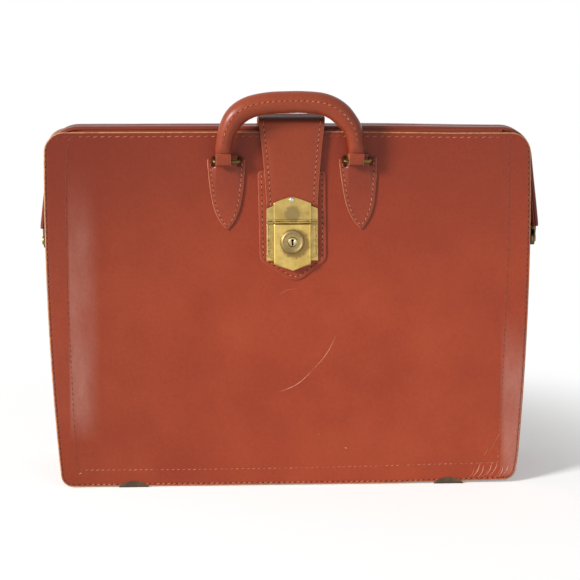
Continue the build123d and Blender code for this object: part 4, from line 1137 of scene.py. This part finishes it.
# the tongue's middle line (v, n): flat, lifting off the panel, and round the ring's bar
EYE_V, EYE_N, EYE_R = 293.5, 3.6, 2.85
tongue = [(v, FLAT_N + 3.1 * (1 - cos(pi * min(max((v - 262) / 30, 0), 1))) / 2)
          for v in (229.6, 230.3, 231.5, 233, 235, 237.5, 240, 243, 246, 250, 254, 258, 262, 266, 270,
                    274, 277, 280, 282.5, 285, 287, 289)]
SPLIT_ROW = 19
tongue += [(EYE_V + EYE_R * sin(radians(a)), EYE_N + EYE_R * cos(radians(a)))
           for a in range(-45, 181, 15)]
tongue += [(289.5, 0.72), (286, 0.7), (283, 0.7)]


def chape(name, x0, tilt, node_name):
    """One tab: its border lies on the panel, and its middle lifts to a tongue that folds
    round the ring's bar between two horns. The maker set it a little askew."""
    a = radians(tilt)

    def place(x, v, n):
        return front(x0 + x * cos(a) - (v - 293) * sin(a), 293 + x * sin(a) + (v - 293) * cos(a), n)

    verts, top, low = [], {}, {}
    for i, (tv, tn) in enumerate(tongue):
        (va, na), (vb, nb) = tongue[max(i - 1, 0)], tongue[min(i + 1, len(tongue) - 1)]
        long = sqrt((vb - va) ** 2 + (nb - na) ** 2)
        off = (-(nb - na) / long, (vb - va) / long)
        half = chape_half(min(tv, 288)) if i <= SPLIT_ROW + 3 else 16.8
        edge = [0, 0.12, 0.5, 1.9, 2.5, 3.2, 3.8]
        line = [half - min(d, half * (0.1 + 0.13 * k)) if half < 6 else half - d
                for k, d in enumerate(edge)]
        inner = min(9.3, line[-1] * 0.9)
        line += [inner, inner - 0.25, inner * 0.75, inner * 0.5, inner * 0.25, 0]
        line = line + [-u for u in line[-2::-1]]
        dent = [-0.9, -0.35, 0, 0, -0.2, -0.2, 0, -0.3 if i > SPLIT_ROW else 0] + [0] * 5
        dent = dent + dent[-2::-1]
        for j, u in enumerate(line):
            b = ease((12.6 - abs(u)) / 3.4)
            horn = i > SPLIT_ROW and (j < 7 or j > len(line) - 8)
            if horn:
                t = min((i - SPLIT_ROW) / 4, 1)
                near = min(j, len(line) - 1 - j)
                tip = HORN_V - (0.9 if near == 0 else 0.25 * abs(3 - near))
                v, n, lown = SPLIT_V + (tip - SPLIT_V) * t, FLAT_N - 0.5 * (t == 1), 0.0
                u = u + (0.0 if t < 1 else (0.25 if u < 0 else -0.25))
                lowv = v
            else:
                flat_v = tv if i <= SPLIT_ROW else SPLIT_V
                v, n = flat_v + (tv - flat_v) * b, FLAT_N + (tn - FLAT_N) * b
                lowv = v - off[0] * TONGUE_T * b
                lown = (n - off[1] * TONGUE_T) * b
            top[i, j] = len(verts)
            verts.append(place(u, v, n + dent[j] * (1 if not (i > SPLIT_ROW and not horn) else 0.6)
                               * (1 if off[1] > 0.3 else 0)))
            low[i, j] = len(verts)
            verts.append(place(u, lowv, lown))
    wide = len(line)

    def there(i, j):
        """Whether the hide is there between columns j and j + 1 above row i."""
        if i < 0 or j < 0 or i >= len(tongue) - 1 or j >= wide - 1:
            return False
        if i < SPLIT_ROW:
            return True
        if j < 6 or j > wide - 8:
            return i < SPLIT_ROW + 4
        return 7 <= j <= wide - 9

    faces, kinds = [], []
    for i in range(len(tongue) - 1):
        for j in range(wide - 1):
            if not there(i, j):
                continue
            faces.append((top[i, j], top[i, j + 1], top[i + 1, j + 1], top[i + 1, j]))
            faces.append((low[i, j], low[i + 1, j], low[i + 1, j + 1], low[i, j + 1]))
            rim = j in (0, 1, wide - 2, wide - 3)
            kinds += [1 if rim else 0, 2]
            for (di, dj), (p, q) in {(0, -1): ((i, j), (i + 1, j)),
                                     (0, 1): ((i, j + 1), (i + 1, j + 1)),
                                     (-1, 0): ((i, j), (i, j + 1)),
                                     (1, 0): ((i + 1, j), (i + 1, j + 1))}.items():
                if not there(i + di, j + dj):
                    faces.append((top[p], top[q], low[q], low[p]))
                    kinds.append(1)
    used = sorted({k for f in faces for k in f})
    number = {k: m for m, k in enumerate(used)}
    tab = mesh_piece(name + "_hide", [verts[k] for k in used],
                     [tuple(number[k] for k in f) for f in faces], [CHAPE_HIDE, CUT_EDGE, FLESH],
                     kinds)
    fit(tab, "front", node_name)
    left = [(-(chape_half(v) - 2.85), v) for v in range(289, 235, -2)]
    row = left + [(-3.2, 235.6), (0, 233.4), (3.2, 235.6)] + [(-x, v) for x, v in left[::-1]]
    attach(sew(name + "_stitches", [(row, 4.6)], place, 2.3, SEWN, seed=17), "front")


chape("chape_left", -57.9, 0.4, "chape_left")
chape("chape_right", 58.6, 2.6, "chape_right")
# the rings' brass is painted dark as shade, for the handle's shadow over them
coat_node(metal("brass_ring_painted_shade", "#7E673A", "#4E3D22", 0.3, patina="#2E2212"),
          "ring_left", "ring_right")

# Handle
# A rope core rolled in hide, closed by a row of stitches along its front, its ends pared
# flat and folded round the rings.
RING_ARM, RING_TILT = 9.5, radians(20)
eye = yz(front(0, EYE_V, EYE_N))
BAR_Y, BAR_Z = eye[0] - RING_ARM * cos(RING_TILT), eye[1] - RING_ARM * sin(RING_TILT)
GRIP_HIDE = bridle_hide("bridle_hide_grip", "#85351D", "#964225", "#8A3A22", 0.3, 0.5)
grip_knots = [(-60.6, 292.9), (-60.6, 296), (-60.5, 300), (-59.0, 308.5), (-56.2, 317.5),
              (-51.6, 326.0), (-45.2, 332.2), (-35.1, 337.2), (-20.2, 340.0), (-4, 340.8),
              (9, 340.8), (23.5, 339.6), (33.6, 336.4), (41.6, 331.2), (47.8, 324.6),
              (52.6, 317.6), (55.0, 308.9), (56.2, 300), (56.3, 296), (56.3, 292.9)]


def smooth_line(knots, step):
    """A smooth curve through knots, in even steps."""
    fine = []
    for i in range(len(knots) - 1):
        a, b, c, d = (Vector(knots[min(max(i + k, 0), len(knots) - 1)]) for k in (-1, 0, 1, 2))
        for k in range(12):
            t = k / 12
            fine.append(0.5 * (2 * b + (c - a) * t + (2 * a - 5 * b + 4 * c - d) * t * t
                               + (3 * b - a - 3 * c + d) * t ** 3))
    fine.append(Vector(knots[-1]))
    reach = run_of(fine)
    count = round(reach[-1] / step)
    stops = [stop_at(reach, reach[-1] * k / count) for k in range(count + 1)]
    return [fine[i].lerp(fine[i + 1], t) for i, t in stops]


grip_line = smooth_line(grip_knots, 1.7)
SEAM_ANGLE = 4.0  # degrees above the front of the roll


def grip_run(z):
    """Half-width, half-depth and squareness of the roll at a height: a round roll, fullest
    in the hand, that narrows down its legs to a flat neck."""
    t = ease((z - 293.4) / 9.0)
    roll = 7.3 + 2.35 * ease((z - 303) / 32)
    return 6.5 + (roll - 6.5) * t, 3.1 + (roll - 3.1) * t, 4.2 - 2.2 * t


RIM = 40
grip_ways, grip_reach = [way_at(grip_line, i) for i in range(len(grip_line))], run_of(grip_line)


def roll_radius(i, a):
    """The roll's radius at a station and an angle, with its seam and its wrinkles."""
    p = grip_line[i]
    wide, deep, square = grip_run(p.y)
    c, s = abs(cos(a)), abs(sin(a))
    base = 1 / ((c / deep) ** square + (s / wide) ** square) ** (1 / square)
    off = ((a * 180 / pi - SEAM_ANGLE + 180) % 360) - 180
    seam = -0.45 * exp(-(off / 3.2) ** 2) + 0.16 * exp(-((abs(off) - 9) / 5) ** 2)
    inner = max(0, -sin(a)) * (p.y > 312)
    crease = 0.22 * inner * noise.noise(Vector((grip_reach[i] / 3.2, a * 2, 7)))
    soft = 0.14 * noise.noise(Vector((p.x / 16, p.y / 16, a)))
    return base + (seam + crease + soft) * min(1, (p.y - 292) / 8)


def round_grip(i, a, r):
    """A point r from the roll's axis: angle 0 is the front, 90 degrees out of the arch."""
    p, way = grip_line[i], grip_ways[i]
    out = Vector((-way.y, 0, way.x))
    return (Vector((p.x, BAR_Y, p.y)) + Vector((0, -1, 0)) * (r * cos(a)) + out * (r * sin(a))) * MM


verts = [round_grip(i, 2 * pi * k / RIM, roll_radius(i, 2 * pi * k / RIM))
         for i in range(len(grip_line)) for k in range(RIM)]
faces = wrapped(RIM, len(grip_line)) + end_caps(RIM, len(verts))
grip = mesh_piece("handle_roll", verts, faces, [GRIP_HIDE])
fit(grip, "handle", "handle_cover")


def on_seam(s, w, n):
    """s along the roll's seam, w above it and n out of it."""
    i, t = stop_at(grip_reach, s)
    a = radians(SEAM_ANGLE + 7) + w / 8.7
    near, far = (round_grip(k, a, roll_radius(k, a) + n) for k in (i, i + 1))
    return near.lerp(far, t)


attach(sew("handle_stitches", [([(13, 0), (grip_reach[-1] - 13, 0)], 4.8)], on_seam, 0.0, SEWN,
            seed=19), "handle")
for word, x0 in (("left", -60.6), ("right", 56.3)):
    line = [(BAR_Y + 3.3, BAR_Z + 7.5), (BAR_Y + 3.1, BAR_Z + 4)]
    line += [(BAR_Y + 2.1 * cos(radians(a)), BAR_Z + 2.1 * sin(radians(a)))
             for a in range(0, -181, -20)]
    line += [(BAR_Y - 2.9, BAR_Z + 4), (BAR_Y - 3.2, BAR_Z + 7.5)]
    loop = band(f"handle_loop_{word}", along_yz(line, x0), [GRIP_HIDE, CUT_EDGE],
                lambda i: 6.6 + 0.1 * sin(i), 1.9, 0, 0.5)
    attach(loop, "handle")


def twisted_cord(name):
    """Three-strand cord of pale hemp, hidden in the roll."""
    made, tree, shader = new_finish(name)
    place = node(tree, "TexCoord").outputs["Object"]
    lay = node(tree, "TexWave", {"Scale": 160, "Distortion": 2}, {"Vector": place},
               bands_direction="DIAGONAL")
    dye = node(tree, "Mix", {6: linear("#8F7B57"), 7: linear("#C4AF84")}, {0: lay.outputs[1]},
               data_type="RGBA")
    tree.links.new(dye.outputs[2], shader.inputs["Base Color"])
    bump = node(tree, "Bump", {"Strength": 0.6, "Distance": 0.0005}, {"Height": lay.outputs[1]})
    tree.links.new(bump.outputs[0], shader.inputs["Normal"])
    shader.inputs["Roughness"].default_value = 0.85
    return made


CORE_LAY, LOBES = 38, 24
core_stops = [i for i, p in enumerate(grip_line) if p.y > 308]
verts = []
for i in core_stops:
    twist = 2 * pi * grip_reach[i] / CORE_LAY
    for a in [2 * pi * k / LOBES for k in range(LOBES)]:
        verts.append(round_grip(i, a, 3.9 + 1.3 * abs(cos(1.5 * (a - twist)))))
faces = wrapped(LOBES, len(core_stops)) + end_caps(LOBES, len(verts))
core = mesh_piece("handle_rope_core", verts, faces, [twisted_cord("hemp_cord")])
fit(core, "handle", "handle_core")

# Feet
# Half-moon plates of dark oxidised metal with a bevelled rim, turned in under the panels'
# lower edges.
FOOT_METAL = metal("oxidised_metal_foot", "#625546", "#463B30", 0.42, patina="#2E241C")
# the rim's paler metal is a painted highlight along the bevel
FOOT_RIM = metal("foot_rim_painted_highlight", "#A8916A", "#7A6747", 0.36, patina="#4A3C2A")
FOOT_R, FOOT_TOP = 21.0, 5.9


def foot(name, x0, side, node_name, body):
    """One foot, cut from sheet and bent: a flange under the panel and a half moon over it."""
    line = [(-52.0, 0.8), (-54.5, 0.8), (-56.8, 0.8), (-57.6, 0.85)]
    half = [12.2, 12.5, 12.9, 13.3]
    for v in (1.4, 2.0, 2.8, 3.5, 4.2, 4.8, 5.3, 5.6, 5.8, 5.88):
        line.append(yz(front(0, v, 0.05)))
        half.append(sqrt(FOOT_R ** 2 - (FOOT_R - FOOT_TOP + v) ** 2))
    stations = along_yz(line, x0)
    if side > 0:
        stations = [(Vector((at.x, -at.y, at.z)), across, Vector((out.x, -out.y, out.z)))
                    for at, across, out in stations]
    made = band(name, stations, [FOOT_METAL, FOOT_RIM], lambda i: half[i], 0.8, 0, 0.3)
    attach(made, body)
    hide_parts(node_name)


for side, body in ((-1, "front"), (1, "back")):
    for word, x0 in (("left", -142), ("right", 140)):
        foot(f"foot_{body}_{word}", x0, side, "feet_" + body, body)

# Studio
# A pale sweep, one large lamp at the upper left, as the shadows show, and a soft fill.
floor_mesh = bpy.data.meshes.new("studio_floor")
RINGS, SPOKES = (0.0, 0.4, 0.8, 1.4, 2.4, 4.0, 8.0), 48
floor_verts = [(0, 0, 0)] + [(r * cos(2 * pi * k / SPOKES), r * sin(2 * pi * k / SPOKES), 0)
                             for r in RINGS[1:] for k in range(SPOKES)]
floor_faces = [(0, 1 + k, 1 + (k + 1) % SPOKES) for k in range(SPOKES)]
for r in range(len(RINGS) - 2):
    for k in range(SPOKES):
        j = (k + 1) % SPOKES
        a = 1 + r * SPOKES
        floor_faces.append((a + k, a + SPOKES + k, a + SPOKES + j, a + j))
floor_mesh.from_pydata(floor_verts, [], floor_faces)
floor = bpy.data.objects.new("studio_floor", floor_mesh)
bpy.context.scene.collection.objects.link(floor)
paper, tree, shader = new_finish("matt_white_paper")
place = node(tree, "NewGeometry").outputs["Position"]
tooth = node(tree, "TexNoise", {"Scale": 300}, {"Vector": place})
shade = node(tree, "Mix", {6: linear("#F4F4F3"), 7: linear("#F7F7F6")}, {0: tooth.outputs[0]},
             data_type="RGBA")
tree.links.new(shade.outputs[2], shader.inputs["Base Color"])
shader.inputs["Roughness"].default_value = 0.9
shader.inputs["Specular IOR Level"].default_value = 0.1
away = node(tree, "VectorMath", {}, {0: place}, operation="LENGTH")
fade = node(tree, "MapRange", {1: 0.22, 2: 0.5}, {0: away.outputs["Value"]},
            interpolation_type="SMOOTHSTEP")
path = node(tree, "LightPath")
seen = node(tree, "Math", {}, {0: path.outputs["Is Camera Ray"], 1: path.outputs["Is Glossy Ray"]},
            operation="MAXIMUM")
lit = node(tree, "Math", {}, {0: fade.outputs[0], 1: seen.outputs[0]}, operation="MULTIPLY")
plain = node(tree, "Emission", {"Color": (1, 1, 1, 1), "Strength": 1.0})
lift = node(tree, "Math", {1: 0.3}, {0: seen.outputs[0]}, operation="MULTIPLY")
glow = node(tree, "Emission", {"Color": (1, 1, 1, 1)}, {"Strength": lift.outputs[0]})
near = node(tree, "AddShader", {}, {0: shader.outputs[0], 1: glow.outputs[0]})
mixed = node(tree, "MixShader", {}, {0: lit.outputs[0], 1: near.outputs[0], 2: plain.outputs[0]})
tree.links.new(mixed.outputs[0], tree.nodes["Material Output"].inputs[0])
floor_mesh.materials.append(paper)

world = bpy.data.worlds.new("studio")
bpy.context.scene.world = world
world.use_nodes = True
tree = world.node_tree
sky = tree.nodes["Background"]
path = node(tree, "LightPath")
seen = node(tree, "Math", {}, {0: path.outputs["Is Camera Ray"], 1: path.outputs["Is Glossy Ray"]},
            operation="MAXIMUM")
seen = node(tree, "Math", {}, {0: seen.outputs[0], 1: path.outputs["Is Transmission Ray"]},
            operation="MAXIMUM")
level = node(tree, "MapRange", {3: 0.25, 4: 1.0}, {0: seen.outputs[0]})
sky.inputs["Color"].default_value = (1, 1, 1, 1)
tree.links.new(level.outputs[0], sky.inputs["Strength"])


def lamp(name, place, aim, wide, power):
    """A soft square lamp that faces a point."""
    light = bpy.data.lights.new(name, "AREA")
    light.shape, light.size, light.energy = "SQUARE", wide, power
    made = bpy.data.objects.new(name, light)
    made.location = place
    made.rotation_mode = "QUATERNION"
    made.rotation_quaternion = (Vector(aim) - Vector(place)).to_track_quat("-Z", "Y")
    bpy.context.scene.collection.objects.link(made)


lamp("key_lamp", (-3.8, -2.5, 2.3), (0, 0, 0.16), 1.2, 285)
lamp("fill_lamp", (1.9, -3.0, 0.9), (0, 0, 0.15), 1.8, 12)

FOCAL_PX, PHOTO_PX, PITCH, YAW, ROLL = 1813.0, 580, 11.264, 2.708, -0.11
camera = bpy.data.cameras.new("photograph_view")
camera.sensor_width = 36
camera.lens = FOCAL_PX / PHOTO_PX * camera.sensor_width
camera.clip_end = 50
viewer = bpy.data.objects.new("photograph_view", camera)
viewer.location = (-0.07725, -1.6147, 0.48892)
viewer.rotation_euler = Euler((radians(90 - PITCH), radians(ROLL), radians(-YAW)))
bpy.context.scene.collection.objects.link(viewer)
bpy.context.scene.camera = viewer
bpy.context.scene.view_settings.view_transform = "Standard"
